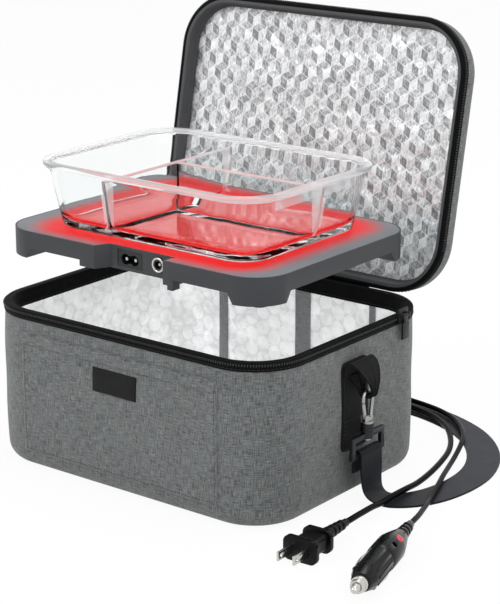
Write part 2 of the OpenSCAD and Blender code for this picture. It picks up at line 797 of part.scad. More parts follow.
module heater_housing() {
    color("darkslategray") difference() {
        union() {
            housing_shell();
            screw_bosses();
        }
        for (p = screw_at) translate([p[0], p[1], slab_z]) cylinder(r = screw_r, h = screw_l);
    }
}

module heater_base_cover() {
    color("darkslategray") difference() {
        plate_slab(housing_t + 1.5, slab_z, slab_z + cover_t);
        block([notch_x0 - 16, -plate_d / 2, slab_z - 1],
              [notch_x1 + 6, notch_y + 14, slab_z + cover_t + 1]);
        for (p = screw_at) translate([p[0], p[1], slab_z - 1]) cylinder(r = screw_r + 0.1, h = cover_t + 2);
    }
}

module cover_screws() {
    color("silver") for (p = screw_at) translate([p[0], p[1], 0]) {
        translate([0, 0, slab_z - screw_head_h]) cylinder(r = screw_head_r, h = screw_head_h);
        translate([0, 0, slab_z - eps]) cylinder(r = screw_r, h = screw_l + eps);
    }
}

module foot_pads() {
    color("black") for (x = [-1, 1], y = [-1, 1])
        translate([x * (plate_w / 2 - 14), y * (plate_d / 2 - 14), heat_z])
            cylinder(r = 6, h = pad_t);
}

mat_w = 190;
mat_d = 128;
module heating_mat() {
    color("orangered") translate([0, 6, plate_z - mat_t]) linear_extrude(mat_t)
        rrect(mat_w, mat_d, 12);
}

module mica_sheet() {
    color("khaki") translate([0, 6, mica_z]) linear_extrude(mica_t) rrect(mat_w, mat_d, 12);
}

thermostat_at = [-40, 10];
module thermostat() {
    color("white") translate([thermostat_at[0], thermostat_at[1], mica_z - 4]) {
        cylinder(r = 8, h = 4);
        translate([-11, -4, 1]) cube([22, 8, 1.5]);
    }
}

fuse_at = [20, 10];
fuse_r = 2;
fuse_l = 31;         // with its two end wires
module thermal_fuse() {
    color("silver") translate([fuse_at[0], fuse_at[1], mica_z - fuse_r]) rotate([0, 90, 0]) {
        cylinder(r = fuse_r, h = 11);
        translate([0, 0, -10]) cylinder(r = 0.6, h = fuse_l);
    }
}

// figure-eight mains inlet: flush face with a two-lobed recess
module ac_inlet() {
    color("black") difference() {
        union() {
            block([ac_x - ac_bezel[0] / 2, notch_y, socket_z - ac_bezel[1] / 2],
                  [ac_x + ac_bezel[0] / 2, notch_y + housing_t, socket_z + ac_bezel[1] / 2 - 1]);
            block([ac_x - ac_bezel[0] / 2 + 1, notch_y + housing_t - eps, socket_z - 6],
                  [ac_x + ac_bezel[0] / 2 - 1, notch_y + 13, socket_z + 3.6]);
        }
        for (s = [-1, 1]) translate([ac_x + s * ac_pin_gap / 2, notch_y - 1, socket_z - 1.1])
            rotate([-90, 0, 0]) cylinder(r = 3.9, h = 11);
        block([ac_x - ac_pin_gap / 2, notch_y - 1, socket_z - 4],
              [ac_x + ac_pin_gap / 2, notch_y + 10, socket_z + 1.8]);
    }
}

module ac_inlet_pins() {
    color("silver") for (s = [-1, 1])
        translate([ac_x + s * ac_pin_gap / 2, notch_y + 1.5, socket_z - 1.1])
            rotate([-90, 0, 0]) cylinder(r = 1.2, h = 8.5);
}

module dc_jack() {
    color("black") translate([dc_x, notch_y - 0.8, socket_z]) rotate([-90, 0, 0]) difference() {
        union() {
            cylinder(r = 5.8, h = 0.8);
            cylinder(r = 4.9, h = 12);
        }
        translate([0, 0, -1]) cylinder(r = 2.8, h = 11);
    }
}

module dc_jack_pin() {
    color("silver") translate([dc_x, notch_y + 1, socket_z]) rotate([-90, 0, 0])
        cylinder(r = 1, h = 8.2);
}

// insulated leads inside the housing, from the inlets to the thermostat and the fuse
lead_r = 1;
lead_z = mica_z - 5.2;
inlet_back = notch_y + 13;
jack_back = notch_y + 11.2;
module wiring() {
    t = thermostat_at;
    f = fuse_at;
    color("firebrick") {
        tube(through([[ac_x, inlet_back, lead_z - 0.6], [ac_x, inlet_back + 9, lead_z],
                      [ac_x - 14, (inlet_back + t[1]) / 2, lead_z], [t[0] + 11, t[1] - 10, mica_z - 4.6],
                      [t[0] + 9, t[1] - 2, mica_z - 4]], 4), lead_r, 8);
        tube(through([[dc_x, jack_back + 0.3, lead_z - 0.6], [dc_x, jack_back + 9, lead_z],
                      [dc_x + 26, (jack_back + f[1]) / 2, lead_z],
                      [f[0] + fuse_l + 5, f[1] - 10, lead_z], [f[0] + fuse_l + 1, f[1], mica_z - 2.6],
                      [f[0] + fuse_l - 10, f[1], mica_z - fuse_r]], 4), lead_r, 8);
    }
}

// ---------- glass container ----------

glass_r = 30;
split_x = -glass_w / 6;
module rslab(w, d, r, z) {
    translate([0, 0, z]) linear_extrude(eps) rrect(w, d, r);
}

module food_container() {
    top_w = glass_w - 2 * lip_w;
    top_d = glass_d - 2 * lip_w;
    t = glass_t;
    base = plate_top;
    color("lightblue", 0.5) difference() {
        union() {
            hull() {
                rslab(glass_base_w, glass_base_d, glass_r - 6, base);
                rslab(top_w, top_d, glass_r, base + glass_h - eps);
            }
            translate([0, 0, base + glass_h - lip_h]) linear_extrude(lip_h)
                rrect(glass_w, glass_d, glass_r + lip_w);
        }
        difference() {
            hull() {
                rslab(glass_base_w - 2 * t - 4, glass_base_d - 2 * t - 4, glass_r - 11, base + t + 0.8);
                rslab(top_w - 2 * t, top_d - 2 * t, glass_r - t, base + glass_h);
            }
            // the dividers stop below the rim
            block([split_x - t / 2, -glass_d, base], [split_x + t / 2, glass_d, base + glass_h - 7]);
            block([split_x, -t / 2 + split_y, base], [glass_w, t / 2 + split_y, base + glass_h - 7]);
        }
    }
}
split_y = 8;

// ---------- mains lead ----------

module ac_cord_run() {
    color("black") tube(through(ac_route, 3), ac_r, 8);
}

module ac_cord_coil() {
    color("black") tube(ac_coil_path, ac_r, 6);
}

// two-blade plug: block with front and rear flanges and a ribbed strain relief
module at_ac_plug() {
    translate(ac_plug_at) rotate([0, 0, ac_plug_turn]) rotate([90, 0, 0]) children();
}

relief_l = 34;
module relief(r0, r1, l, ribs) {
    rotate_extrude($fn = 32) polygon([[0, 0], [r0, 0], [r1, l], [0, l]]);
    for (k = [1 : ribs])
        translate([0, 0, l * k / (ribs + 1)])
            cylinder(r = r0 + (r1 - r0) * k / (ribs + 1) + 0.7, h = l / (ribs + 1) / 2);
}

module ac_plug() {
    color("black") at_ac_plug() {
        relief(ac_r + 0.6, ac_r + 2.4, relief_l, 5);
        translate([0, 0, relief_l]) linear_extrude(4) rrect(23, 17, 5);
        translate([0, 0, relief_l + 4]) linear_extrude(17) rrect(18, 12, 3);
        translate([0, 0, relief_l + 21]) linear_extrude(4) rrect(27, 17.8, 5);
    }
}

module ac_plug_blades() {
    color("silver") at_ac_plug() for (s = [-1, 1]) translate([s * 6.35, 0, relief_l + 25])
        difference() {
            translate([-0.75, -3.2, 0]) cube([1.5, 6.4, 17]);
            translate([-2, 0, 13.5]) rotate([0, 90, 0]) cylinder(r = 1.5, h = 4);
        }
}

// figure-eight connector at the coil's tail
ac_end = ac_coil_path[len(ac_coil_path) - 1];
module ac_connector() {
    color("black") translate(ac_end) rotate([0, -90, 0]) {
        relief(ac_r + 0.4, ac_r + 1.4, 14, 3);
        translate([0, 0, 14]) linear_extrude(12) rrect(11.6, 17.4, 4);
        difference() {
            translate([0, 0, 26]) linear_extrude(8) rrect(7.6, 16, 3.75);
            for (s = [-1, 1])
                translate([0, s * ac_pin_gap / 2, 20]) cylinder(r = 1.3, h = 16);
        }
    }
}

// ---------- 12 V lead ----------

module dc_cord_run() {
    color("black") tube(through(dc_route, 3), dc_r, 8);
}

module dc_cord_coil() {
    color("black") tube(dc_coil_path, dc_r, 6);
}

module at_car_plug() {
    translate(car_plug_at) rotate([0, 0, car_plug_turn]) rotate([90, 0, 0])
        rotate([0, 0, car_plug_roll]) children();
}

car_relief_l = 24;
car_body_l = 80;
nose_r = 6.8;
module car_plug_body() {
    r = car_d / 2;
    z0 = car_relief_l;
    color("dimgray") at_car_plug() difference() {
        union() {
            relief(dc_r + 0.8, dc_r + 2.8, z0, 3);
            rotate_extrude($fn = 64) polygon([
                [0, z0], [6, z0], [r - 2, z0 + 10], [r, z0 + 20], [r, z0 + 40], [r - 0.9, z0 + 42],
                [r - 0.9, z0 + car_body_l - 9], [nose_r, z0 + car_body_l], [0, z0 + car_body_l]]);
            for (k = [0 : 11]) rotate([0, 0, 30 * k + 15])
                translate([r - 2, -0.9, z0 + 43]) cube([1.7, 1.8, car_body_l - 53]);
        }
        // flats behind the side springs, the lamp's seat, the screw hole and the nose's bore
        for (s = [-1, 1]) translate([s * (r - 1.4) - (s < 0 ? 3 : 0), -3, z0 + 46]) cube([3, 6, 22]);
        translate([0, r - 3, z0 + 19]) rotate([-90, 0, 0]) cylinder(r = 3.2, h = 6);
        translate([0, r - 5, z0 + 31]) rotate([-90, 0, 0]) cylinder(r = 2.2, h = 8);
        translate([0, 0, z0 + car_body_l - 12]) cylinder(r = 4.3, h = 14);
    }
}

// metal ring screwed on the nose, with a hole for the tip
module car_plug_ring() {
    z0 = car_relief_l + car_body_l;
    color("silver") at_car_plug() difference() {
        translate([0, 0, z0]) union() {
            cylinder(r = nose_r - 1, h = 4);
            translate([0, 0, 4 - eps]) cylinder(r = nose_r - 2, h = 4);
        }
        translate([0, 0, z0 - 1]) cylinder(r = 3.1, h = 12);
    }
}

// sprung centre contact
module car_plug_tip() {
    z0 = car_relief_l + car_body_l;
    color("silver") at_car_plug() {
        translate([0, 0, z0 - 2.3]) cylinder(r = 4, h = 2);
        translate([0, 0, z0 - 1]) cylinder(r = 3, h = 13);
        translate([0, 0, z0 + 12]) sphere(r = 2.6);
    }
}

// leaf springs on the two sides of the nose
module car_plug_springs() {
    r = car_d / 2;
    z0 = car_relief_l + 46;
    color("silver") at_car_plug() for (s = [-1, 1]) mirror([s < 0 ? 1 : 0, 0, 0])
        hull() {
            translate([r - 1.4, -2.4, z0 + 0.5]) cube([0.6, 4.8, 1]);
            translate([r - 0.2, -2.4, z0 + 10]) cube([0.6, 4.8, 2]);
            translate([r - 1.4, -2.4, z0 + 20.5]) cube([0.6, 4.8, 1]);
        }
}

module car_plug_lamp() {
    color("red") at_car_plug() translate([0, car_d / 2 - 3, car_relief_l + 19])
        rotate([-90, 0, 0]) {
            cylinder(r = 3.1, h = 2.6);
            translate([0, 0, 2.5]) scale([1, 1, 0.35]) sphere(r = 2.4);
        }
}

dc_end = dc_coil_path[len(dc_coil_path) - 1];
module dc_barrel_plug() {
    color("black") translate(dc_end) rotate([-90, 0, 0]) {
        relief(dc_r + 0.4, dc_r + 1.2, 12, 3);
        translate([0, 0, 12]) cylinder(r = 5, h = 14);
        difference() {
            translate([0, 0, 26 - eps]) cylinder(r = 2.75, h = 9.5);
            translate([0, 0, 28]) cylinder(r = 1.1, h = 9);
        }
    }
}

bag_shell();
base_panel();
base_board();
bag_foam();
bag_liner();
liner_seam_strips();
rim_band();
zip_teeth_bag();
hinge_tape_bag();
front_pocket();
label_patch();
side_patch(false);  // side_patch_right
side_patch(true);  // side_patch_left
strap_loop(false);  // strap_loop_right
strap_loop(true);  // strap_loop_left
shoulder_strap();
strap_adjuster();
strap_ring(false);  // strap_ring_right
strap_ring(true);  // strap_ring_left
hook(false);  // hook_right
hook(true);  // hook_left
hook_gate(false);  // hook_gate_right
hook_gate(true);  // hook_gate_left
zip_slider();
zip_pull();
lid_shell();
lid_foam();
lid_liner();
lid_border();
lid_zip_band();
zip_teeth_lid();
hinge_tape_lid();
heater_plate();
heater_housing();
heater_base_cover();
heating_mat();
mica_sheet();
thermostat();
thermal_fuse();
ac_inlet();
ac_inlet_pins();
dc_jack();
dc_jack_pin();
wiring();
cover_screws();
foot_pads();
food_container();
ac_cord_run();
ac_cord_coil();
ac_plug();
ac_plug_blades();
ac_connector();
dc_cord_run();
dc_cord_coil();
car_plug_body();
car_plug_ring();
car_plug_tip();
car_plug_springs();
car_plug_lamp();
dc_barrel_plug();
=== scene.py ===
import math
import random

import bmesh
import bpy
from mathutils import Matrix, Vector, noise


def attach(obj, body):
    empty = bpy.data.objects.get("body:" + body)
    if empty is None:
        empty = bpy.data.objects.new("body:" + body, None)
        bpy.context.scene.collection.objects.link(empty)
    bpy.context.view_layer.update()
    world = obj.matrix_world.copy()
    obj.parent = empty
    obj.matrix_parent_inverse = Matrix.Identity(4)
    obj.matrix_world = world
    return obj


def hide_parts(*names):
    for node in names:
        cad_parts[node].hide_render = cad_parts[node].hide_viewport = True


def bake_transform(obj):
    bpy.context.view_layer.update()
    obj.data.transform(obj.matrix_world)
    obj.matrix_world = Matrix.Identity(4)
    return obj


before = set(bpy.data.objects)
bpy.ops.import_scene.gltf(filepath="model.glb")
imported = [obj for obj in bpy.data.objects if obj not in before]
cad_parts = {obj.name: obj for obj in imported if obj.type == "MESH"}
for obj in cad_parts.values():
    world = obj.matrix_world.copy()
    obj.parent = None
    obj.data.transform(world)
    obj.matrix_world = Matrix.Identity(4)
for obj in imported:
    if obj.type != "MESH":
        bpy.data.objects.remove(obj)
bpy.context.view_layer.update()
MM = 0.001

# ---------------------------------------------------------------- camera, floor, light
# The box stands on a plain white floor under soft studio light. The camera is the one
# fitted to the photograph: its angles, distance and focal length.
AZIMUTH = math.radians(37.9)
ELEVATION = math.radians(16.9)
CAMERA_AT = Vector((0.9168, -1.1259, 0.5639))
FOCAL_MM = 120.04
SENSOR_MM = 36
SIGHT = 50                   # metres
LIGHT_BOUNCES = 24           # enough to pass through every wall of the glass


def linked(name, data):
    """A new object of the scene, at the origin."""
    made = bpy.data.objects.new(name, data)
    bpy.context.scene.collection.objects.link(made)
    return made


camera = linked("camera", bpy.data.cameras.new("camera"))
camera.data.sensor_width = SENSOR_MM
camera.data.lens = FOCAL_MM
camera.data.clip_end = SIGHT
right = Vector((math.cos(AZIMUTH), math.sin(AZIMUTH), 0))
back = Vector((math.sin(AZIMUTH) * math.cos(ELEVATION),
               -math.cos(AZIMUTH) * math.cos(ELEVATION), math.sin(ELEVATION)))
turn = Matrix((right, back.cross(right), back)).transposed()
camera.matrix_world = Matrix.Translation(CAMERA_AT) @ turn.to_4x4()
bpy.context.scene.camera = camera
bpy.context.scene.view_settings.view_transform = "Standard"
bpy.context.scene.cycles.max_bounces = LIGHT_BOUNCES
bpy.context.scene.cycles.transmission_bounces = LIGHT_BOUNCES


def srgb(hex_code):
    """A colour written as sRGB hex, in the linear light that shaders take."""
    parts = [int(hex_code[i:i + 2], 16) / 255 for i in (1, 3, 5)]
    return (*[p / 12.92 if p <= 0.04045 else ((p + 0.055) / 1.055) ** 2.4 for p in parts], 1)


def join(node, links):
    """Sets inputs of a node, by name or in their order. Each takes a value, a socket to join
    to it, or a node whose first output is joined to it."""
    for name, value in links.items() if isinstance(links, dict) else enumerate(links):
        if isinstance(value, bpy.types.Node):
            value = value.outputs[0]
        if isinstance(value, bpy.types.NodeSocket):
            node.id_data.links.new(value, node.inputs[name])
        else:
            node.inputs[name].default_value = value


def add(tree, kind, links=(), **settings):
    """Adds a node with its settings and links. kind leaves out the prefix of the tree's type."""
    made = tree.nodes.new({"SHADER": "ShaderNode", "GEOMETRY": "GeometryNode"}[tree.type] + kind)
    for name, value in settings.items():
        setattr(made, name, value)
    join(made, links)
    return made


def material(name, base, roughness, **more):
    """A Principled material. Underscores in more stand for spaces in the socket names."""
    made = bpy.data.materials.new(name)
    made.use_nodes = True
    shader = made.node_tree.nodes["Principled BSDF"]
    join(shader, {"Base Color": srgb(base), "Roughness": roughness})
    join(shader, {socket.replace("_", " "): value for socket, value in more.items()})
    return made, made.node_tree, shader


def is_seen(tree):
    """1 for rays that show the background: from the camera, mirrored or through glass."""
    path = add(tree, "LightPath")
    most = path.outputs["Is Camera Ray"]
    for ray in ("Is Glossy Ray", "Is Transmission Ray"):
        most = add(tree, "Math", (most, path.outputs[ray]), operation="MAXIMUM")
    return most


FLOOR_WHITE = "#f4f4f4"
FLOOR_GLOW = 0.93            # share of the floor that is plain white where it is seen
FLOOR_HALF = 40              # metres, so its edge is never in view
FLOOR_DROP = 0.0002          # metres, so what lies on it doesn't share its plane
floor_mesh = bpy.data.meshes.new("floor")
floor_mesh.from_pydata([(x * FLOOR_HALF, y * FLOOR_HALF, 0)
                        for x, y in ((-1, -1), (1, -1), (1, 1), (-1, 1))], [], [(0, 1, 2, 3)])
floor = linked("floor", floor_mesh)
floor.location.z = -FLOOR_DROP
paint, tree, shader = material("matt_white_floor", FLOOR_WHITE, 0.9)
white = add(tree, "Emission", {"Color": (1, 1, 1, 1), "Strength": 1.0})
share = add(tree, "Math", (is_seen(tree), FLOOR_GLOW), operation="MULTIPLY")
blend = add(tree, "MixShader", (share, shader, white))
join(tree.nodes["Material Output"], {"Surface": blend})
floor_mesh.materials.append(paint)

AMBIENT = 0.62
world = bpy.data.worlds.new("studio")
world.use_nodes = True
bpy.context.scene.world = world
level = add(world.node_tree, "MapRange",
            {"Value": is_seen(world.node_tree), "To Min": AMBIENT, "To Max": 1.0})
join(world.node_tree.nodes["Background"], {"Strength": level, "Color": (1, 1, 1, 1)})
BOX_MIDDLE = Vector((0, 0, 0.12))


def lamp(name, at, size, watts):
    """A square area lamp that faces the middle of the box."""
    light = bpy.data.lights.new(name, "AREA")
    light.size = size
    light.energy = watts
    made = linked(name, light)
    made.location = at
    made.rotation_euler = (BOX_MIDDLE - Vector(at)).to_track_quat("-Z", "Y").to_euler()


lamp("key", (-0.9, -1.5, 1.5), 0.9, 16)
lamp("fill", (1.8, -0.6, 1.2), 1.2, 12)
lamp("top", (0.1, 0.4, 2.0), 1.2, 14)


# ---------------------------------------------------------------- the two leads
# Round black PVC cords. Each lies free beside the bag: from the connector for the
# heater, through a coil behind the bag, over the strap and to its plug in front.
def through(points, steps):
    """A smooth line through given points."""
    line = []
    last = len(points) - 1
    for i in range(last):
        a, b = Vector(points[max(i - 1, 0)]), Vector(points[i])
        c, d = Vector(points[i + 1]), Vector(points[min(i + 2, last)])
        for k in range(steps):
            t = k / steps
            line.append(0.5 * (2 * b + (c - a) * t + (2 * a - 5 * b + 4 * c - d) * t * t
                               + (3 * b - a - 3 * c + d) * t ** 3))
    return [*line, Vector(points[last])]


COIL_GAP = 0.5               # all of a lead's sizes are in millimetres
COIL_TURNS = 3               # in each of a coil's two layers
COIL_STEPS = 48              # points in one turn
COIL_RISE = 0.5              # of a turn, to go up from the lower layer to the upper
TAIL_STEPS = 16


def coiled(middle, diameter, middle_radius, extra_turn, rest_height, tail):
    """A coil: in along the floor, up a layer as it turns back, out on top, and a tail."""
    pitch = diameter + COIL_GAP
    outer = middle_radius + pitch * COIL_TURNS / 2

    def at(turns):
        radius = outer - pitch * (turns if turns <= COIL_TURNS else 2 * COIL_TURNS - turns)
        angle = math.radians(-90 - 360 * turns)
        rise = min(max((turns - COIL_TURNS + COIL_RISE / 2) / COIL_RISE, 0), 1)
        height = diameter / 2 + pitch * rise * rise * (3 - 2 * rise)
        return Vector((middle[0] + radius * math.cos(angle),
                       middle[1] + radius * math.sin(angle), height))

    total = 2 * COIL_TURNS + extra_turn
    line = [at(i / COIL_STEPS) for i in range(int(COIL_STEPS * total) + 1)]
    angle = math.radians(-90 - 360 * total)
    ahead = Vector((math.sin(angle), -math.cos(angle), 0))
    end = line[-1]
    fall = end.z - rest_height
    for k in range(1, TAIL_STEPS + 1):
        down = max(2 * k / TAIL_STEPS - 1, 0)
        line.append(end + ahead * tail * k / TAIL_STEPS
                    - Vector((0, 0, fall * down * down * (3 - 2 * down))))
    line.append(end + ahead * (tail + diameter) - Vector((0, 0, fall)))
    return line


def fitted(piece, body, slot, *nodes):
    """Puts a piece on its body, in place of the frame's nodes. slot is not used."""
    if nodes:
        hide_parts(*nodes)
    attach(piece, body)
    return piece


def lead(name, line, diameter, paint, *nodes):
    """The cord as a curve of one open spline along its centreline, in metres."""
    curve = bpy.data.curves.new(name, "CURVE")
    curve.dimensions = "3D"
    curve.bevel_depth = diameter / 2 * MM
    curve.bevel_resolution = 4
    curve.use_fill_caps = True
    spline = curve.splines.new("POLY")
    spline.points.add(len(line) - 1)
    for point, place in zip(spline.points, line):
        point.co = (*(place * MM), 1)
        point.radius = 1
    curve.materials.append(paint)
    return fitted(linked(name, curve), "bag", "cord_pvc", *nodes)


# Extruded PVC: black, half glossy, with the faint ripple that extrusion leaves
cord_pvc, tree, shader = material("extruded_pvc", "#040405", 0.24, Specular_IOR_Level=0.05)
ripple = add(tree, "TexNoise", {"Vector": add(tree, "TexCoord").outputs["Object"],
                                "Scale": 260.0})
join(shader, {"Normal": add(tree, "Bump", {"Height": ripple, "Strength": 0.15,
                                           "Distance": 0.4 * MM})})

AC_D, DC_D = 4.5, 4.0
STRAP_OVER = 2.1             # how far a lead rises where it crosses the strap
ac_r, dc_r = AC_D / 2, DC_D / 2
ac_up, dc_up = ac_r + STRAP_OVER, dc_r + STRAP_OVER
AC_COIL, DC_COIL = (-112, 220), (-22, 231.5)
AC_TURN_R, DC_TURN_R = 27, 23
ac_front = AC_COIL[1] - AC_TURN_R - (AC_D + COIL_GAP) * COIL_TURNS / 2
dc_front = DC_COIL[1] - DC_TURN_R - (DC_D + COIL_GAP) * COIL_TURNS / 2
ac_route = [
    (172, -60, 9), (171.6, -53, 8.9), (170.6, -44, 8.5), (169.4, -34, 7.8),
    (168, -22, 6.9), (166.8, -8, ac_up + 0.9), (165.6, 8, ac_up + 0.8), (164.6, 26, ac_up),
    (162.6, 44, ac_r + 0.4), (159, 66, ac_r), (153, 91, ac_r), (144.6, 116, ac_r),
    (133.4, 136, ac_r + 0.8), (119, 153, ac_up), (102, 165.6, ac_up), (84, 173, ac_up),
    (66, 177, ac_up), (46, 180, ac_up), (24, 182.8, ac_up), (2, 185, ac_up),
    (-24, 186.6, ac_r + 0.4), (-50, 186.2, ac_r), (-74, 185.7, ac_r),
    (AC_COIL[0] + 2 * AC_D, ac_front, ac_r), (AC_COIL[0] + AC_D, ac_front, ac_r)]
dc_route = [
    (223, -81.3, 10.5), (217, -59.6, 10.5), (211, -38, 10.5), (208.8, -30, 10.1),
    (205.6, -20, 9.1), (201, -8, 7.7), (195.4, 6, 6.2), (190, 18, dc_up + 0.5),
    (184, 33, dc_up), (178.2, 49, dc_up), (171.8, 65, dc_r + 2), (163.9, 85, dc_r + 0.8),
    (155.7, 107, dc_r + 0.6), (147.2, 129, dc_r + 1.9), (138, 147, dc_up + 0.3),
    (125, 163, dc_up), (110, 175.4, dc_up), (93, 183.6, dc_up), (75, 188, dc_up),
    (56, 190.8, dc_up), (38, 194, dc_up), (22, 197.2, dc_r + 0.5), (7, 199.8, dc_r),
    (DC_COIL[0] + DC_D + 9, dc_front, dc_r), (DC_COIL[0] + DC_D, dc_front, dc_r)]
ac_line = (through(ac_route, 5) + coiled(AC_COIL, AC_D, AC_TURN_R, 0, 6, 52))[::-1]
dc_line = (through(dc_route, 5) + coiled(DC_COIL, DC_D, DC_TURN_R, 0.25, 5, 42))[::-1]
mains_lead = lead("mains_lead", ac_line, AC_D, cord_pvc, "ac_cord_run", "ac_cord_coil")
car_lead = lead("car_lead", dc_line, DC_D, cord_pvc, "dc_cord_run", "dc_cord_coil")


# ---------------------------------------------------------------- plugs and connectors
# Moulded black PVC plugs and connectors on the leads' ends, with plated contacts. They are
# the frame's own pieces, given the small round edges that a mould leaves.
MERGE = 0.002                # mm: the frame's loose triangles are joined at this distance
FLAT_TURN = 1                # degrees: faces that turn less than this are made one
EDGE_TURN = 32               # degrees: edges that turn more than this are rounded


def baked(piece):
    """The piece with its modifiers applied, as one plain mesh."""
    bpy.context.view_layer.update()
    seen = bpy.context.evaluated_depsgraph_get()
    mesh = bpy.data.meshes.new_from_object(piece.evaluated_get(seen))
    piece.modifiers.clear()
    piece.data = mesh
    return piece


def rounded(node, edge_mm, paint, body, slot, segments=2):
    """A frame node copied with its edges rounded, to stand for that node."""
    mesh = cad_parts[node].data.copy()
    work = bmesh.new()
    work.from_mesh(mesh)
    bmesh.ops.remove_doubles(work, verts=work.verts, dist=MERGE * MM)
    bmesh.ops.dissolve_limit(work, angle_limit=math.radians(FLAT_TURN), verts=work.verts,
                             edges=work.edges)
    work.to_mesh(mesh)
    work.free()
    mesh.materials.clear()
    mesh.materials.append(paint)
    piece = linked(node + "_moulded", mesh)
    bevel = piece.modifiers.new("edges", "BEVEL")
    bevel.width = edge_mm * MM
    bevel.segments = segments
    bevel.limit_method = "ANGLE"
    bevel.angle_limit = math.radians(EDGE_TURN)
    baked(piece)
    piece.data.shade_smooth()
    piece.data.set_sharp_from_angle(angle=math.radians(EDGE_TURN))
    return fitted(piece, body, slot, node)


def grained(name, base, roughness, grain_mm, depth_mm, **more):
    """A moulded or painted surface with a fine grain, and a shine that varies a little."""
    made, tree, shader = material(name, base, roughness, **more)
    where = add(tree, "TexCoord").outputs["Object"]
    grain = add(tree, "TexNoise", {"Vector": where, "Scale": 1 / (grain_mm * MM), "Detail": 3.0})
    wear = add(tree, "TexNoise", {"Vector": where, "Scale": 38.0, "Detail": 4.0})
    join(shader, {"Normal": add(tree, "Bump", {"Height": grain, "Strength": 0.5,
                                               "Distance": depth_mm * MM}),
                  "Roughness": add(tree, "MapRange", {"Value": wear, "To Min": roughness * 0.85,
                                                      "To Max": min(roughness * 1.15, 1)})})
    return made


# Moulded PVC: black, satin, with a fine spark-eroded texture
plug_pvc = grained("moulded_pvc", "#060607", 0.3, 0.6, 0.04, Specular_IOR_Level=0.15)
# Nickel plate over brass: bright and a little warm, with faint drawing marks
nickel = grained("nickel_plate", "#c9c7c1", 0.22, 1.2, 0.02, Metallic=1.0)
# Moulded ABS of the car plug: black and glossier
car_abs = grained("moulded_abs", "#08090a", 0.2, 0.7, 0.03, Specular_IOR_Level=0.25)
# Cast acrylic lens over a lamp that is lit: dark red, with a hot spot where the lamp is
lamp_red, tree, shader = material("lit_red_lens", "#7c0812", 0.12, Coat_Weight=0.6)
facing = add(tree, "LayerWeight", {"Blend": 0.5}).outputs["Facing"]
shine = add(tree, "MapRange", {"Value": facing, "From Max": 0.5, "To Min": 1.6, "To Max": 0.25})
join(shader, {"Emission Color": srgb("#f0142c"), "Emission Strength": shine})

ac_plug = rounded("ac_plug", 0.7, plug_pvc, "bag", "plug_pvc")
ac_blades = rounded("ac_plug_blades", 0.25, nickel, "bag", "nickel_plate")
ac_connector = rounded("ac_connector", 0.5, plug_pvc, "bag", "plug_pvc")
dc_barrel = rounded("dc_barrel_plug", 0.3, plug_pvc, "bag", "plug_pvc")
car_body = rounded("car_plug_body", 0.4, car_abs, "bag", "car_plug_plastic")
car_ring = rounded("car_plug_ring", 0.4, nickel, "bag", "nickel_plate")
car_springs = rounded("car_plug_springs", 0.2, nickel, "bag", "nickel_plate")
car_tip = rounded("car_plug_tip", 0.3, nickel, "car_tip", "nickel_plate")
car_lamp = rounded("car_plug_lamp", 0.3, lamp_red, "bag", "red_lens")

# ---------------------------------------------------------------- bag's outer fabric
# Grey melange polyester, cut as one wall and a bottom panel. It is sewn over the foam, so
# it stands a little proud between the rim and the bottom edge.
BAG_W, BAG_D, BAG_H = 270, 208, 124
CORNER = 42                  # radius of the upright corners, seen from above
BOTTOM_R = 12
BAND_Z = 118                 # the black rim band starts here
BELLY_Z = 8                  # the wall starts to stand proud here


def bag_outline(step):
    """Stations round the bag from the middle of the rear wall: x, y, outward x and y, run."""
    half_w, half_d = BAG_W / 2 - CORNER, BAG_D / 2 - CORNER
    quarter = math.pi / 2
    stations = [(0, BAG_D / 2, 0, 1, 0)]
    run = 0

    def straight(x, y, out_x, out_y):
        from_x, from_y = stations[-1][:2]
        far = math.hypot(x - from_x, y - from_y)
        count = max(int(far / step), 1)
        for k in range(1, count + 1):
            stations.append((from_x + (x - from_x) * k / count, from_y + (y - from_y) * k / count,
                             out_x, out_y, run + far * k / count))
        return run + far

    for x, y, begins in ((-half_w, half_d, 90), (-half_w, -half_d, 180),
                         (half_w, -half_d, 270), (half_w, half_d, 360)):
        a = math.radians(begins)
        run = straight(x + CORNER * math.cos(a), y + CORNER * math.sin(a),
                       math.cos(a), math.sin(a))
        count = int(quarter * CORNER / step) + 1
        for k in range(1, count + 1):
            b = a + quarter * k / count
            stations.append((x + CORNER * math.cos(b), y + CORNER * math.sin(b), math.cos(b),
                             math.sin(b), run + CORNER * quarter * k / count))
        run += CORNER * quarter
    straight(0, BAG_D / 2, 0, 1)
    return stations


def arc(x, y, radius, start, end, steps):
    """Points of an arc, for a profile: angles in degrees."""
    return [(x + radius * math.cos(math.radians(start + (end - start) * k / steps)),
             y + radius * math.sin(math.radians(start + (end - start) * k / steps)))
            for k in range(steps + 1)]


def upright(out, start, end, step):
    """Points of an upright line, for a profile."""
    count = max(int(abs(end - start) / step), 1)
    return [(out, start + (end - start) * k / count) for k in range(count + 1)]


def filled(work, grid, uv=None, uv_at=None, flip=False):
    """Fills a grid of vertices with faces. uv_at gives the UV of the grid's place a, b, for
    a face in column j."""
    faces = []
    for i in range(len(grid) - 1):
        for j in range(len(grid[0]) - 1):
            corners = [(i, j), (i + 1, j), (i + 1, j + 1), (i, j + 1)]
            if flip:
                corners = [corners[0], *corners[:0:-1]]
            faces.append(work.faces.new([grid[a][b] for a, b in corners]))
            if uv_at:
                for loop, (a, b) in zip(faces[-1].loops, corners):
                    loop[uv].uv = uv_at(a, b, j)
    return faces


def finished(name, work, *paints, smooth=True):
    """A bmesh made into an object."""
    mesh = bpy.data.meshes.new(name)
    work.to_mesh(mesh)
    work.free()
    for paint in paints:
        mesh.materials.append(paint)
    if smooth:
        mesh.shade_smooth()
    return linked(name, mesh)


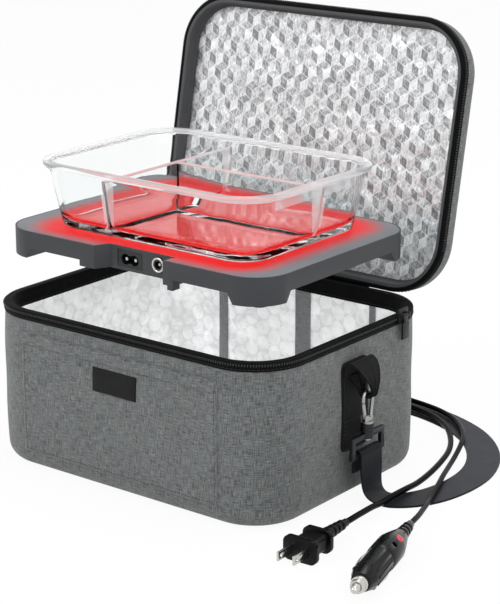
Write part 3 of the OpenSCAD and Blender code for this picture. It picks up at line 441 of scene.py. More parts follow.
def runs_along(line):
    """How far each point lies along a line."""
    runs = [0.0]
    for a, b in zip(line, line[1:]):
        runs.append(runs[-1] + math.dist(a, b))
    return runs


def swept(name, profile, stations, paint, cap=0, shape=None, turn=None):
    """Carries a profile of (outwards, height) round the bag's outline. A profile that goes up
    faces out. cap adds that many rings from its last point to the middle. UVs are metres."""
    work = bmesh.new()
    uv = work.loops.layers.uv.new("UVMap")
    heights = runs_along(profile)
    grid, maps = [], []
    for x, y, out_x, out_y, run in stations:
        line = [(x + out_x * out, y + out_y * out, z, out_x, out_y) for out, z in profile]
        last_x, last_y, last_z = line[-1][:3]
        middle = [(last_x * (1 - k / cap), last_y * (1 - k / cap), last_z, out_x, out_y)
                  for k in range(1, cap + 1)]
        spots = [shape(*p) if shape else p[:3] for p in line + middle]
        grid.append([work.verts.new(Vector(p) * MM) for p in spots])
        maps.append(([(run * MM, h * MM) for h in heights],
                     [(p[0] * MM, p[1] * MM) for p in [line[-1], *middle]]))
    top = len(profile) - 1
    filled(work, grid, uv,
           lambda a, b, j: maps[a][0][b] if j < top else maps[a][1][b - top])
    bmesh.ops.remove_doubles(work, verts=work.verts, dist=0.01 * MM)
    bmesh.ops.dissolve_degenerate(work, edges=work.edges, dist=0.001 * MM)
    if turn:
        work.transform(turn)
    return finished(name, work, paint)


def give(x, y, z):
    """How far the soft wall stands proud at a spot: fuller at mid height, a little uneven."""
    belly = math.sin(math.pi * min(max((z - BELLY_Z) / (BAND_Z - BELLY_Z), 0), 1))
    lumps = noise.noise(Vector((x / 62, y / 62, z / 40 + 5)))
    return belly * (1.0 + 1.5 * lumps)


def soft_wall(x, y, z, out_x, out_y):
    """The outer wall with its belly."""
    proud = give(x, y, z)
    return x + out_x * proud, y + out_y * proud, z


def threads(tree, spot, *pitches):
    """Waves along u and v, for threads at these distances in mm."""
    axes = add(tree, "SeparateXYZ", (spot,))
    turns = [add(tree, "Math", (axis, 2 * math.pi / (pitch * MM)), operation="MULTIPLY")
             for axis, pitch in zip(axes.outputs, pitches)]
    return [add(tree, "Math", (turn,), operation="SINE") for turn in turns]


def melange(name, dark, light):
    """Woven melange: long dark and light slubs both ways over a plain weave."""
    made, tree, shader = material(name, dark, 0.92, Sheen_Weight=0.3, Sheen_Roughness=0.45)
    spot = add(tree, "UVMap")
    slubs = []
    for across, along in ((2000, 130), (130, 2000)):      # 0.5 mm wide and 8 mm long
        stretched = add(tree, "Mapping", {"Vector": spot, "Scale": (across, along, 1)})
        slubs.append(add(tree, "TexNoise", {"Vector": stretched, "Scale": 1.0, "Detail": 2.5,
                                            "Roughness": 0.6}))
    cloudy = add(tree, "TexNoise", {"Vector": spot, "Scale": 40.0, "Detail": 3.0})
    faint = add(tree, "Math", (cloudy, 0.12), operation="MULTIPLY")
    both = add(tree, "Math", (add(tree, "Math", slubs, operation="ADD"), faint), operation="ADD")
    share = add(tree, "MapRange", {"Value": both, "From Min": 0.87, "From Max": 1.27})
    tint = add(tree, "Mix", {"Factor": share, "A": srgb(dark), "B": srgb(light)},
               data_type="RGBA")
    weave = add(tree, "Math", threads(tree, spot, 0.9, 0.9), operation="MULTIPLY")
    height = add(tree, "Math", (both, 1.6, weave), operation="MULTIPLY_ADD")
    bump = add(tree, "Bump", {"Height": height, "Strength": 0.5, "Distance": 0.12 * MM})
    join(shader, {"Base Color": tint.outputs["Result"], "Normal": bump})
    return made


grey_melange = melange("grey_melange", "#3b3e3e", "#7d8080")
all_round = bag_outline(4)
shell_profile = [*arc(-BOTTOM_R, BOTTOM_R, BOTTOM_R, -90, 0, 8), *upright(0, 16, BAND_Z, 4),
                 (-0.6, BAND_Z + 1)]
fitted(swept("bag_fabric", shell_profile, all_round, grey_melange, shape=soft_wall),
       "bag", "melange_fabric", "bag_shell")
panel_profile = [(-BOTTOM_R + 0.4, 0.15), (-BOTTOM_R - 0.5, 0)]
fitted(swept("bottom_panel", panel_profile, all_round[::-1], grey_melange, cap=6),
       "bag", "melange_fabric", "base_panel")


# ---------------------------------------------------------------- front pocket and label
# A flat pocket panel of the same fabric, sewn on three sides with a folded hem on top. The
# bare label is a woven black patch sewn to it.
CLOTH_STEP = 4.0


def cloth_plate(name, width, height, thick, place, paint, rounded_by=1.0, corner=0):
    """A sewn-on piece of cloth: flat, with edges that roll down to what it is sewn to.
    place turns (across, up, proud) in mm into a point. corner is its corners' radius."""
    work = bmesh.new()
    uv = work.loops.layers.uv.new("UVMap")

    def lines(size):
        count = max(int(size / CLOTH_STEP), 2)
        inner = [-size / 2 + rounded_by + (size - 2 * rounded_by) * k / count
                 for k in range(count + 1)]
        return [-size / 2, -size / 2 + rounded_by * 0.3, *inner, size / 2 - rounded_by * 0.3,
                size / 2]

    across, up = lines(width), lines(height)

    def proud(k, count):
        return (0, 0.75, 1)[min(k, count - 1 - k, 2)]

    def turned(a, b):
        over_a, over_b = abs(a) - (width / 2 - corner), abs(b) - (height / 2 - corner)
        if min(over_a, over_b) <= 0:
            return a, b
        keep = max(over_a, over_b) / math.hypot(over_a, over_b)
        return (math.copysign(width / 2 - corner + over_a * keep, a),
                math.copysign(height / 2 - corner + over_b * keep, b))

    grid = [[work.verts.new(place(*turned(a, b), thick * min(proud(i, len(across)),
                                                             proud(j, len(up)))) * MM)
             for j, b in enumerate(up)] for i, a in enumerate(across)]
    filled(work, grid, uv, lambda a, b, j: (across[a] * MM, up[b] * MM))
    return finished(name, work, paint)


def on_front(middle_x, middle_z):
    """Places cloth on the front wall, with its belly."""
    def place(across, up, proud):
        x, z = middle_x + across, middle_z + up
        return Vector((x, -BAG_D / 2 - give(x, -BAG_D / 2, z) - proud, z))
    return place


def woven_black(name, base, rib_mm, roughness=0.75, sheen=0.04, **more):
    """Black nylon: fine ribs across the run, with a dusty variation in its shine."""
    made, tree, shader = material(name, base, roughness, Sheen_Weight=sheen,
                                  Sheen_Roughness=0.4, **more)
    spot = add(tree, "UVMap")
    ribs, rows = threads(tree, spot, rib_mm, rib_mm * 1.7)
    weave = add(tree, "Math", (rows, 0.6, ribs), operation="MULTIPLY_ADD")
    dust = add(tree, "TexNoise", {"Vector": spot, "Scale": 90.0, "Detail": 4.0})
    join(shader, {"Normal": add(tree, "Bump", {"Height": weave, "Strength": 0.55,
                                               "Distance": 0.1 * MM}),
                  "Roughness": add(tree, "MapRange", {"Value": dust, "To Min": roughness - 0.12,
                                                      "To Max": roughness + 0.12})})
    return made


POCKET_W, POCKET_Z, POCKET_TOP = 186, 14, 108
POCKET_H = POCKET_TOP - POCKET_Z
HEM_H = 9
LABEL_W, LABEL_H, LABEL_X, LABEL_Z = 42, 18.5, -1, 86.25
LABEL_T = 2.0
on_pocket = on_front(0, (POCKET_TOP + POCKET_Z) / 2)
on_label = on_front(LABEL_X, LABEL_Z)
satin_black = woven_black("satin_black", "#070708", 0.35, 0.6, Specular_IOR_Level=0.2)
fitted(cloth_plate("pocket_panel", POCKET_W, POCKET_H, 1.0, on_pocket, grey_melange),
       "bag", "melange_fabric", "front_pocket")
fitted(cloth_plate("pocket_hem", POCKET_W - 1, HEM_H, 2.9, on_front(0, POCKET_TOP - HEM_H / 2),
                   grey_melange, rounded_by=2), "bag", "melange_fabric", "front_pocket")
fitted(cloth_plate("label_patch_bare", LABEL_W, LABEL_H, LABEL_T, on_label, satin_black,
                   rounded_by=0.6), "bag", "black_patch", "label_patch")


# ---------------------------------------------------------------- stitches and zip teeth
# Lock stitches of polyester thread, and the moulded nylon teeth of the zip. Both are like
# small beads along a line, so one node tree sets them out.
def bead_tree():
    """The node tree: it sets out beads along a line, spaced, sized and painted as asked."""
    tree = bpy.data.node_groups.new("beads_along_line", "GeometryNodeTree")
    for name, kind in (("Line", "Geometry"), ("Spacing", "Float"), ("Size", "Vector"),
                       ("Material", "Material")):
        tree.interface.new_socket(name, in_out="INPUT", socket_type="NodeSocket" + kind)
    tree.interface.new_socket("Beads", in_out="OUTPUT", socket_type="NodeSocketGeometry")
    given = tree.nodes.new("NodeGroupInput")
    level = add(tree, "SetCurveNormal", {"Curve": given.outputs["Line"]}, mode="Z_UP")
    spots = add(tree, "CurveToPoints", {"Curve": level, "Length": given.outputs["Spacing"]},
                mode="LENGTH")
    bead = add(tree, "MeshUVSphere", {"Segments": 8, "Rings": 5, "Radius": 0.5})
    many = add(tree, "InstanceOnPoints",
               {"Points": spots.outputs["Points"], "Instance": bead.outputs["Mesh"],
                "Rotation": spots.outputs["Rotation"], "Scale": given.outputs["Size"]})
    real = add(tree, "RealizeInstances", {"Geometry": many})
    painted = add(tree, "SetMaterial", {"Geometry": real,
                                        "Material": given.outputs["Material"]})
    smooth = add(tree, "SetShadeSmooth", {"Geometry": painted})
    join(tree.nodes.new("NodeGroupOutput"), {"Beads": smooth})
    return tree


BEADS = bead_tree()


def beads(name, lines, spacing, size, paint, turn=None):
    """Beads along lines of points. size is (outwards, upwards, along) in mm."""
    curve = bpy.data.curves.new(name + "_line", "CURVE")
    curve.dimensions = "3D"
    for line in lines:
        spline = curve.splines.new("POLY")
        spline.points.add(len(line) - 1)
        for point, place in zip(spline.points, line):
            point.co = (*(Vector(place) * MM), 1)
    guide = linked(name + "_line", curve)
    setting = guide.modifiers.new("beads", "NODES")
    setting.node_group = BEADS
    values = {"Spacing": spacing * MM, "Size": [s * MM for s in size], "Material": paint}
    for socket in BEADS.interface.items_tree:
        if socket.in_out == "INPUT" and socket.name in values:
            setting[socket.identifier] = values[socket.name]
    bpy.context.view_layer.update()
    seen = bpy.context.evaluated_depsgraph_get()
    mesh = bpy.data.meshes.new_from_object(guide.evaluated_get(seen))
    bpy.data.objects.remove(guide)
    if turn:
        mesh.transform(turn)
    return linked(name, mesh)


STITCH = (0.55, 0.55, 2.5)
STITCH_GAP = 3.2
SEAM_STEP = 6                # a stitch line bends with the wall at steps of about this


def box_line(width, height, place, proud, open_top=False):
    """A stitch line round a sewn-on piece, a little inside its edge."""
    a, b = width / 2, height / 2
    spots = [(-a, b), (-a, -b), (a, -b), (a, b)]
    if not open_top:
        spots += [(-a, b)]
    line = []
    for (x0, y0), (x1, y1) in zip(spots, spots[1:]):
        count = max(int(math.dist((x0, y0), (x1, y1)) / SEAM_STEP), 1)
        line += [place(x0 + (x1 - x0) * k / count, y0 + (y1 - y0) * k / count, proud)
                 for k in range(count)]
    return [*line, place(*spots[-1], proud)]


grey_thread = grained("grey_thread", "#3c3e3f", 0.8, 0.3, 0.03)
black_thread = grained("black_thread", "#101011", 0.7, 0.3, 0.03)
zip_nylon = grained("moulded_nylon_teeth", "#121314", 0.24, 0.5, 0.02)
HEM_SEAM_DOWN, HEM_SEAM_OUT = 7, 2.3                 # from the pocket's top, and from the bag
pocket_line = box_line(POCKET_W - 5, POCKET_H - 5, on_pocket, 1.0, open_top=True)
hem_line = [on_front(0, POCKET_TOP - HEM_SEAM_DOWN)(x, 0, HEM_SEAM_OUT)
            for x in range(-91, 92, 7)]
fitted(beads("pocket_stitches", [pocket_line, hem_line], STITCH_GAP, STITCH, grey_thread),
       "bag", "melange_fabric")
label_line = box_line(LABEL_W - 2.4, LABEL_H - 2.4, on_label, LABEL_T)
fitted(beads("label_stitches", [label_line], 2.4, (0.4, 0.4, 1.8), black_thread),
       "bag", "black_patch")


# ---------------------------------------------------------------- rim band and the bag's zip
# Black nylon tape folded over the rim and sewn through, with a facing inside. The zip's
# teeth run on it from one rear corner round the front to the other.
FACING_Z = 112
RIM_IN = 6.5                 # the facing's inner face, from the outside
ZIP_END_Y = 66
TOOTH = (1.5, 2.3, 1.25)
TOOTH_GAP = 2.0
TEETH_Z = 122.1
ON_TAPE = 0.75               # teeth and stitches lie this far out from the bag's outline
rim_tape = woven_black("rim_tape", "#050506", 0.7, sheen=0.02, Specular_IOR_Level=0.1)
rim_profile = [(0.5, BAND_Z - 0.4), (0.7, BAND_Z + 0.3),
               *upright(0.7, BAND_Z + 1, BAG_H - 1.6, 2),
               *arc(-0.7, BAG_H - 1.4, 1.4, 0, 90, 4), (-3.5, BAG_H + 0.1),
               *arc(-RIM_IN + 1.4, BAG_H - 1.5, 1.5, 90, 180, 4),
               *upright(-RIM_IN - 0.1, BAG_H - 3, FACING_Z, 3), (-RIM_IN + 0.3, FACING_Z - 0.6),
               (-RIM_IN + 1.2, FACING_Z - 0.6)]
fitted(swept("rim_tape_folded", rim_profile, all_round, rim_tape), "bag", "black_tape",
       "rim_band")


def round_bag(out, z, stations):
    """A level line round the bag, this far out from its outline."""
    return [(x + out_x * out, y + out_y * out, z) for x, y, out_x, out_y, run in stations]


zip_stations = [s for s in bag_outline(2) if s[1] < ZIP_END_Y]
fitted(beads("bag_zip_teeth", [round_bag(ON_TAPE, TEETH_Z, zip_stations)], TOOTH_GAP, TOOTH,
             zip_nylon), "bag", "zip_nylon", "zip_teeth_bag")
rim_lines = [round_bag(ON_TAPE, BAND_Z + 1.1, all_round),
             round_bag(-RIM_IN - 0.15, FACING_Z + 1.6, all_round)]
fitted(beads("rim_stitches", rim_lines, STITCH_GAP, STITCH, black_thread), "bag", "black_tape")


# ---------------------------------------------------------------- bag's foil liner
# Aluminised film over thin foam, welded into a box. It is crumpled all over, and strips
# of grey binding cover its joins on the rear wall.
LINER_IN = 5.5
FLOOR_Z = 9
COMB_PITCH = 13


def crumple(x, y, z, size):
    """Sharp little folds, as foil has: 0 in the folds and up to about 1 between them."""
    spot = Vector((x / size, y / size, z / size))
    return abs(noise.noise(spot)) * 1.6 + abs(noise.noise(spot * 2.3)) * 0.6


def crumpled_wall(x, y, z, out_x, out_y):
    """The liner's wall and floor, which the folds only move inwards."""
    loose = min(max((FACING_Z - z) / 10, 0), 1)
    fold = loose * (1.5 * crumple(x, y, z, 21) + 0.5 * crumple(x + 50, y, z, 7))
    if z > FLOOR_Z + 0.5:
        return x - out_x * fold, y - out_y * fold, z
    return x, y, z - 0.7 + min(0.5 * crumple(x, y, z, 19), 0.7)


def foil(name, light, roughness, metallic, crease_mm, depth_mm, strength):
    """Aluminised film: bright, with creases and cloudier places."""
    made, tree, shader = material(name, light, roughness, Metallic=metallic)
    where = add(tree, "TexCoord").outputs["Object"]
    creases = add(tree, "TexVoronoi", {"Vector": where, "Scale": 1 / (crease_mm * MM),
                                       "Randomness": 1.0}, feature="F1")
    crumbs = add(tree, "TexNoise", {"Vector": where, "Scale": 0.55 / (crease_mm * MM),
                                    "Detail": 5.0, "Roughness": 0.65, "Distortion": 0.8})
    height = add(tree, "Math", (creases.outputs["Distance"], 0.2, crumbs),
                 operation="MULTIPLY_ADD")
    join(shader, {"Normal": add(tree, "Bump", {"Height": height, "Strength": strength,
                                               "Distance": depth_mm * MM})})
    return made, tree, shader, where, crumbs


def honeycomb(tree, spot, pitch_mm):
    """1 on the lines of a honeycomb and 0 inside its cells."""
    reach = 2 * math.pi / (pitch_mm * MM * math.cos(math.radians(30)))
    total = None
    for turned in (0, 120, 240):
        a = math.radians(turned)
        along = add(tree, "VectorMath", (spot, (reach * math.cos(a), reach * math.sin(a), 0)),
                    operation="DOT_PRODUCT").outputs["Value"]
        wave = add(tree, "Math", (along,), operation="COSINE")
        total = add(tree, "Math", (wave, total), operation="ADD") if total else wave
    return add(tree, "MapRange", {"Value": total, "From Min": -0.86, "From Max": -1.02},
               interpolation_type="SMOOTHSTEP")


liner_foil, tree, shader, where, crumbs = foil("crumpled_foil", "#f0f1f2", 0.32, 0.15, 8.0, 1.4,
                                               0.55)
cells = honeycomb(tree, add(tree, "UVMap"), COMB_PITCH)
cloudy = add(tree, "MapRange", {"Value": crumbs, "From Min": 0.34, "From Max": 0.6})
share = add(tree, "Math", (cells, -0.5, cloudy), operation="MULTIPLY_ADD")
tint = add(tree, "Mix", {"Factor": share, "A": srgb("#c0c2c3"), "B": srgb("#f6f7f8")},
           data_type="RGBA")
# Painted light: the film glows a little white, so it looks brightly lit down inside the bag
join(shader, {"Base Color": tint.outputs["Result"], "Emission Color": srgb("#f5f5f4"),
              "Emission Strength": 0.33})
liner_profile = [*upright(-LINER_IN, FACING_Z + 1, FLOOR_Z + 6, 2.5),
                 *arc(-LINER_IN - 6, FLOOR_Z + 6, 6, 0, -90, 5)[1:]]
fitted(swept("foil_liner", liner_profile, bag_outline(3), liner_foil, cap=34,
             shape=crumpled_wall), "bag", "silver_foil", "bag_liner")


def on_rear_inside(middle_x, middle_z):
    """Places cloth on the liner's rear wall, over its folds."""
    def place(across, up, proud):
        x, z = middle_x - across, middle_z + up
        fold = 1.0 + 0.5 * crumple(x, BAG_D / 2, z, 40)
        return Vector((x, BAG_D / 2 - LINER_IN - fold - proud, z))
    return place


binding = melange("grey_binding_cloth", "#77797a", "#9c9e9f")
STRIPS = ((-62.3, 9), (17.7, 15), (83.7, 6))         # x of the middle, and width
for k, (x, width) in enumerate(STRIPS):
    strip = cloth_plate(f"seam_strip_{k + 1}", width, FACING_Z - FLOOR_Z - 1, 1.0,
                        on_rear_inside(x, (FACING_Z + FLOOR_Z) / 2), binding)
    fitted(strip, "bag", "grey_binding", "liner_seam_strips")


# ---------------------------------------------------------------- lid
# Foam between grey fabric outside and foil inside, with black tape round its edge. All its
# pieces are drawn closed and turned open about the hinge.
HINGE = Vector((0, BAG_D / 2, BAG_H + 0.5)) * MM
LID_OPEN = math.radians(-101)
opened = (Matrix.Translation(HINGE) @ Matrix.Rotation(LID_OPEN, 4, "X")
          @ Matrix.Translation(-HINGE))
LID_Z, LID_TOP, LID_EDGE_R, LID_BAND = 125, 146, 8, 131
LID_FOIL_Z = 136


def soft_lid(x, y, z, out_x, out_y):
    """The lid's top puffs up a little between its edges."""
    inner_x = max(1 - (x / (BAG_W / 2 - LID_EDGE_R)) ** 2, 0)
    inner_y = max(1 - (y / (BAG_D / 2 - LID_EDGE_R)) ** 2, 0)
    lumps = 0.5 * noise.noise(Vector((x / 50, y / 50, 9)))
    return x, y, z + (1.0 + lumps) * math.sqrt(inner_x * inner_y) if z > LID_TOP - 1 else z


lid_profile = [(-0.6, LID_BAND - 1), (0, LID_BAND),
               *upright(0, LID_BAND + 1, LID_TOP - LID_EDGE_R, 2),
               *arc(-LID_EDGE_R, LID_TOP - LID_EDGE_R, LID_EDGE_R, 0, 90, 7)[1:]]
fitted(swept("lid_fabric", lid_profile, all_round, grey_melange, cap=26, shape=soft_lid,
             turn=opened), "lid", "melange_fabric", "lid_shell")
edge_profile = [(-3.0, LID_Z + 0.3), (-2.8, LID_Z - 0.25), (-1.8, LID_Z - 0.3),
                *arc(-1.0, LID_Z + 1.5, 1.6, -90, 0, 4),
                *upright(0.6, LID_Z + 2, LID_BAND - 0.4, 1.5), (0.2, LID_BAND + 0.3)]
fitted(swept("lid_edge_tape", edge_profile, all_round, rim_tape, turn=opened),
       "lid", "black_tape", "lid_zip_band")
fitted(beads("lid_zip_teeth", [round_bag(ON_TAPE, LID_Z + 2, zip_stations)], TOOTH_GAP, TOOTH,
             zip_nylon, turn=opened), "lid", "zip_nylon", "zip_teeth_lid")
fitted(beads("lid_stitches", [round_bag(0.7, LID_BAND - 1.1, all_round)], STITCH_GAP, STITCH,
             black_thread, turn=opened), "lid", "black_tape")
dark_lining = woven_black("dark_grey_lining", "#46494b", 0.8)
border_profile = [(-LINER_IN - 2.6, LID_FOIL_Z - 0.5), (-LINER_IN - 1.2, LID_FOIL_Z - 0.8),
                  *upright(-LINER_IN - 0.3, LID_FOIL_Z - 2, LID_Z + 1.5, 1.5),
                  *arc(-LINER_IN + 0.8, LID_Z + 1.1, 1.1, 180, 270, 4), (-3.4, LID_Z - 0.05),
                  (-2.4, LID_Z)]
fitted(swept("lid_lining", border_profile, all_round, dark_lining, turn=opened),
       "lid", "dark_lining", "lid_border")

# The foil panel is embossed with cubes: each is three rhombs round a raised point. Each rhomb also
# gets a painted shade or painted highlight by the side it faces, as if lit from one side.
CUBE_PITCH = 13.5
ROW_RISE = 0.866             # from row to row, as a share of the pitch
EMBOSS = 0.3
RHOMB_CELLS = 4
# Painted light of a cube's three sides: painted shade and painted highlight by the way each side
# faces, and how much it changes at random
RHOMB_PAINTED_LIGHT = (0.38, 0.84, 0.2)
PAINTED_LIGHT_VARIES = 0.2
BEYOND_EDGE = 8              # cubes are drawn this far past the panel, and held inside it


def held_inside(x, y, inset):
    """Moves a point outside the lid's hollow to its outline."""
    reach = CORNER - inset
    far_x = max(abs(x) - (BAG_W / 2 - CORNER), 0)
    far_y = max(abs(y) - (BAG_D / 2 - CORNER), 0)
    far = math.hypot(far_x, far_y)
    if far <= reach:
        return x, y
    keep = reach / far
    return (math.copysign(BAG_W / 2 - CORNER + far_x * keep, x) if far_x else x,
            math.copysign(BAG_D / 2 - CORNER + far_y * keep, y) if far_y else y)


def cube_foil(name, paint):
    """The panel. Each rhomb's painted light, a painted shade or painted highlight by the side it
    faces with a random change, is kept as an attribute of its faces.
    """
    work = bmesh.new()
    painted_facet_light = work.faces.layers.float.new("painted_facet_light")
    uv = work.loops.layers.uv.new("UVMap")
    rows = int(BAG_D / CUBE_PITCH / ROW_RISE / 2) + 2
    columns = int(BAG_W / CUBE_PITCH) + 2
    facet_light_draws = random.Random(7)
    up = Vector((0, 0, EMBOSS))
    shares = [k / RHOMB_CELLS for k in range(RHOMB_CELLS + 1)]

    def knot(i, j):
        return Vector(((i + j / 2) * CUBE_PITCH, j * CUBE_PITCH * ROW_RISE, 0))

    def corner(top, p, q, low, u, v):
        spot = top * (1 - u) * (1 - v) + p * u * (1 - v) + q * v * (1 - u) + low * u * v
        x, y = held_inside(spot.x, spot.y, LINER_IN - 0.6)
        z = LID_FOIL_Z - spot.z - 0.9 * crumple(x, y, 0, 26) + 0.6
        return work.verts.new(Vector((x, y, z)) * MM)

    for j in range(-rows, rows + 1):
        for i in range(-columns, columns + 1):
            a, b, c = knot(i, j), knot(i + 1, j), knot(i, j + 1)
            raised = (a + b + c) / 3
            if (abs(raised.x) > BAG_W / 2 + BEYOND_EDGE
                    or abs(raised.y) > BAG_D / 2 + BEYOND_EDGE):
                continue
            for side, (p, q) in enumerate(((a, b), (b, c), (c, a))):
                # painted shade or painted highlight of this side, with a random change
                facet_light = RHOMB_PAINTED_LIGHT[side] + facet_light_draws.uniform(-PAINTED_LIGHT_VARIES, PAINTED_LIGHT_VARIES)
                grid = [[corner(raised + up, p, q, p + q - raised - up, u, v) for v in shares]
                        for u in shares]
                for face in filled(work, grid, uv, lambda m, n, _: (shares[m], shares[n]),
                                   flip=True):
                    face[painted_facet_light] = min(max(facet_light, 0), 1)
    bmesh.ops.remove_doubles(work, verts=work.verts, dist=0.05 * MM)
    bmesh.ops.dissolve_degenerate(work, edges=work.edges, dist=0.001 * MM)
    bmesh.ops.recalc_face_normals(work, faces=work.faces)
    work.transform(opened)
    return finished(name, work, paint, smooth=False)


embossed_foil, tree, shader, where, crumbs = foil("embossed_foil", "#f0f2f4", 0.36, 0.4, 4.0, 0.5,
                                                  0.5)
# Each rhomb's painted shade or painted highlight, read from its faces
painted_facet_tone = add(tree, "Attribute", attribute_name="painted_facet_light").outputs["Fac"]
stretched = add(tree, "Mapping", {"Vector": where, "Scale": (700, 400, 330)})
streaks = add(tree, "TexNoise", {"Vector": stretched, "Scale": 1.0, "Detail": 3.0})
tone = add(tree, "Math", (streaks, 2.0, -1.0), operation="MULTIPLY_ADD")
tone = add(tree, "Math", (tone, painted_facet_tone), operation="ADD")
cloudy = add(tree, "Math", (crumbs, 0.5), operation="SUBTRACT")
tone = add(tree, "Math", (cloudy, 1.2, tone), operation="MULTIPLY_ADD")
# The lines between the rhombs are pressed sharp, and a painted highlight runs along them
across = []
for axis in add(tree, "SeparateXYZ", (add(tree, "UVMap"),)).outputs[:2]:
    off = add(tree, "Math", (axis, 0.5), operation="SUBTRACT")
    across.append(add(tree, "Math", (off,), operation="ABSOLUTE"))
off_middle = add(tree, "Math", across, operation="MAXIMUM")
# painted highlight: the colour is lifted to near white along each rhomb's border
crease_highlight = add(tree, "MapRange", {"Value": off_middle, "From Min": 0.44, "From Max": 0.49},
             interpolation_type="SMOOTHSTEP")
crease_highlight = add(tree, "Math", (crease_highlight, 0.95), operation="MULTIPLY")
tone = add(tree, "Math", (tone, crease_highlight), operation="MAXIMUM")
tint = add(tree, "Mix", {"Factor": tone, "A": srgb("#85888b"), "B": srgb("#ebedee")},
           data_type="RGBA")
join(shader, {"Base Color": tint.outputs["Result"]})
fitted(cube_foil("lid_foil", embossed_foil), "lid", "silver_foil", "lid_liner")


# ---------------------------------------------------------------- hinge fabric
# Black tape sewn to the outside of the rear wall and of the lid, and a gusset between them,
# drawn in one fixed shape.
TAPE_HALF = 75
TAPE_T = 0.8
TAPE_H, TAPE_Z = 15.5, 115.75                        # on the bag: height and middle
LID_TAPE_H, LID_TAPE_Z = 11, 132.5                   # on the lid, with the lid closed
GUSSET_T = 0.5
GUSSET_STEPS = 40            # across the box
GUSSET = [(104.7, 120.6), (104.8, 121.8), (105.1, 122.6), (105.7, 123.2), (106.5, 123.4),
          (107.4, 123.3), (108.6, 123.0)]


def hinge_cloth(name, half_width, line, paint):
    """A strip of cloth across the box: line holds its section's y and z."""
    work = bmesh.new()
    uv = work.loops.layers.uv.new("UVMap")
    run = runs_along(line)
    xs = [half_width * (2 * k / GUSSET_STEPS - 1) for k in range(GUSSET_STEPS + 1)]
    rows = [[work.verts.new(Vector((x, y, z)) * MM) for y, z in line] for x in xs]
    filled(work, rows, uv, lambda a, b, j: (xs[a] * MM, run[b] * MM), flip=True)
    piece = finished(name, work, paint)
    solid = piece.modifiers.new("thickness", "SOLIDIFY")
    solid.thickness = GUSSET_T * MM
    solid.offset = 0
    return baked(piece)


def on_rear(across, up, proud):
    """Places the tape on the bag's rear wall, under the hinge."""
    return Vector((-across, BAG_D / 2 + 0.2 + proud, TAPE_Z + up))


def on_lid_rear(across, up, proud):
    """Places the tape on the lid's rear edge, as it lies with the lid open."""
    spot = opened @ (Vector((0, BAG_D / 2 + 0.1 + proud, LID_TAPE_Z + up)) * MM)
    return Vector((-across, spot.y / MM, spot.z / MM))


fitted(cloth_plate("hinge_tape_rear", 2 * TAPE_HALF, TAPE_H, TAPE_T, on_rear, rim_tape),
       "bag", "black_tape", "hinge_tape_bag")
fitted(cloth_plate("hinge_tape_on_lid", 2 * TAPE_HALF, LID_TAPE_H, TAPE_T, on_lid_rear,
                   rim_tape), "lid", "black_tape", "hinge_tape_lid")
gusset = hinge_cloth("hinge_gusset", TAPE_HALF - 1, GUSSET, rim_tape)
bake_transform(gusset)


# ---------------------------------------------------------------- side patches and loops
# Black nylon webbing. On each side a patch is sewn flat, and a second piece is folded out
# over a roll at its top and gathered round the bow of the snap hook.
PATCH_W, PATCH_TOP, PATCH_H = 32, 106, 68
PATCH_T = 1.5
SIDE_Y = -1
HOOK_X = 148
WEBBING_T = 1.4
WEBBING_COLUMNS = 9          # points across one face of it
CRIMP_WAVES = 19             # radians of ripple across webbing that is gathered
WEBBING_TURN = 60            # degrees: its edges that turn more than this stay sharp


def on_side(side, middle_z):
    """Places cloth on the right (1) or left (-1) wall, with its belly."""
    def place(across, up, proud):
        y, z = SIDE_Y + side * across, middle_z + up
        return Vector((side * (BAG_W / 2 + give(side * BAG_W / 2, y, z) + proud), y, z))
    return place


def webbing(name, path, paint, thick, crimp=0.0):
    """A strap along (centre, direction across it, width) triples, with soft edges."""
    work = bmesh.new()
    uv = work.loops.layers.uv.new("UVMap")
    spread = [0.97 * (k / (WEBBING_COLUMNS - 1) - 0.5) for k in range(WEBBING_COLUMNS)]
    section = [(-0.5, 0), *[(a, 0.5) for a in spread], (0.5, 0),
               *[(a, -0.5) for a in spread[::-1]]]
    rows, runs, run = [], [], 0.0
    widest = max(width for spot, across, width in path)
    for k, (spot, across, width) in enumerate(path):
        ahead = path[min(k + 1, len(path) - 1)][0] - path[max(k - 1, 0)][0]
        up = across.cross(ahead).normalized()
        if k:
            run += (spot - path[k - 1][0]).length
        runs.append(run)
        squeeze = crimp * (1 - width / widest)
        heights = [h * thick + squeeze * math.cos(a * CRIMP_WAVES) for a, h in section]
        rows.append([work.verts.new((spot + across * a * width + up * height) * MM)
                     for (a, h), height in zip(section, heights)])
    section.append(section[0])
    filled(work, [[*row, row[0]] for row in rows], uv,
           lambda a, b, j: (runs[a] * MM, section[b][0] * path[a][2] * MM), flip=True)
    work.faces.new(rows[0][::-1])
    work.faces.new(rows[-1])
    bmesh.ops.recalc_face_normals(work, faces=work.faces)
    piece = finished(name, work, paint)
    piece.data.set_sharp_from_angle(angle=math.radians(WEBBING_TURN))
    return piece


black_webbing = woven_black("black_webbing", "#070708", 1.3, 0.72, Specular_IOR_Level=0.2)
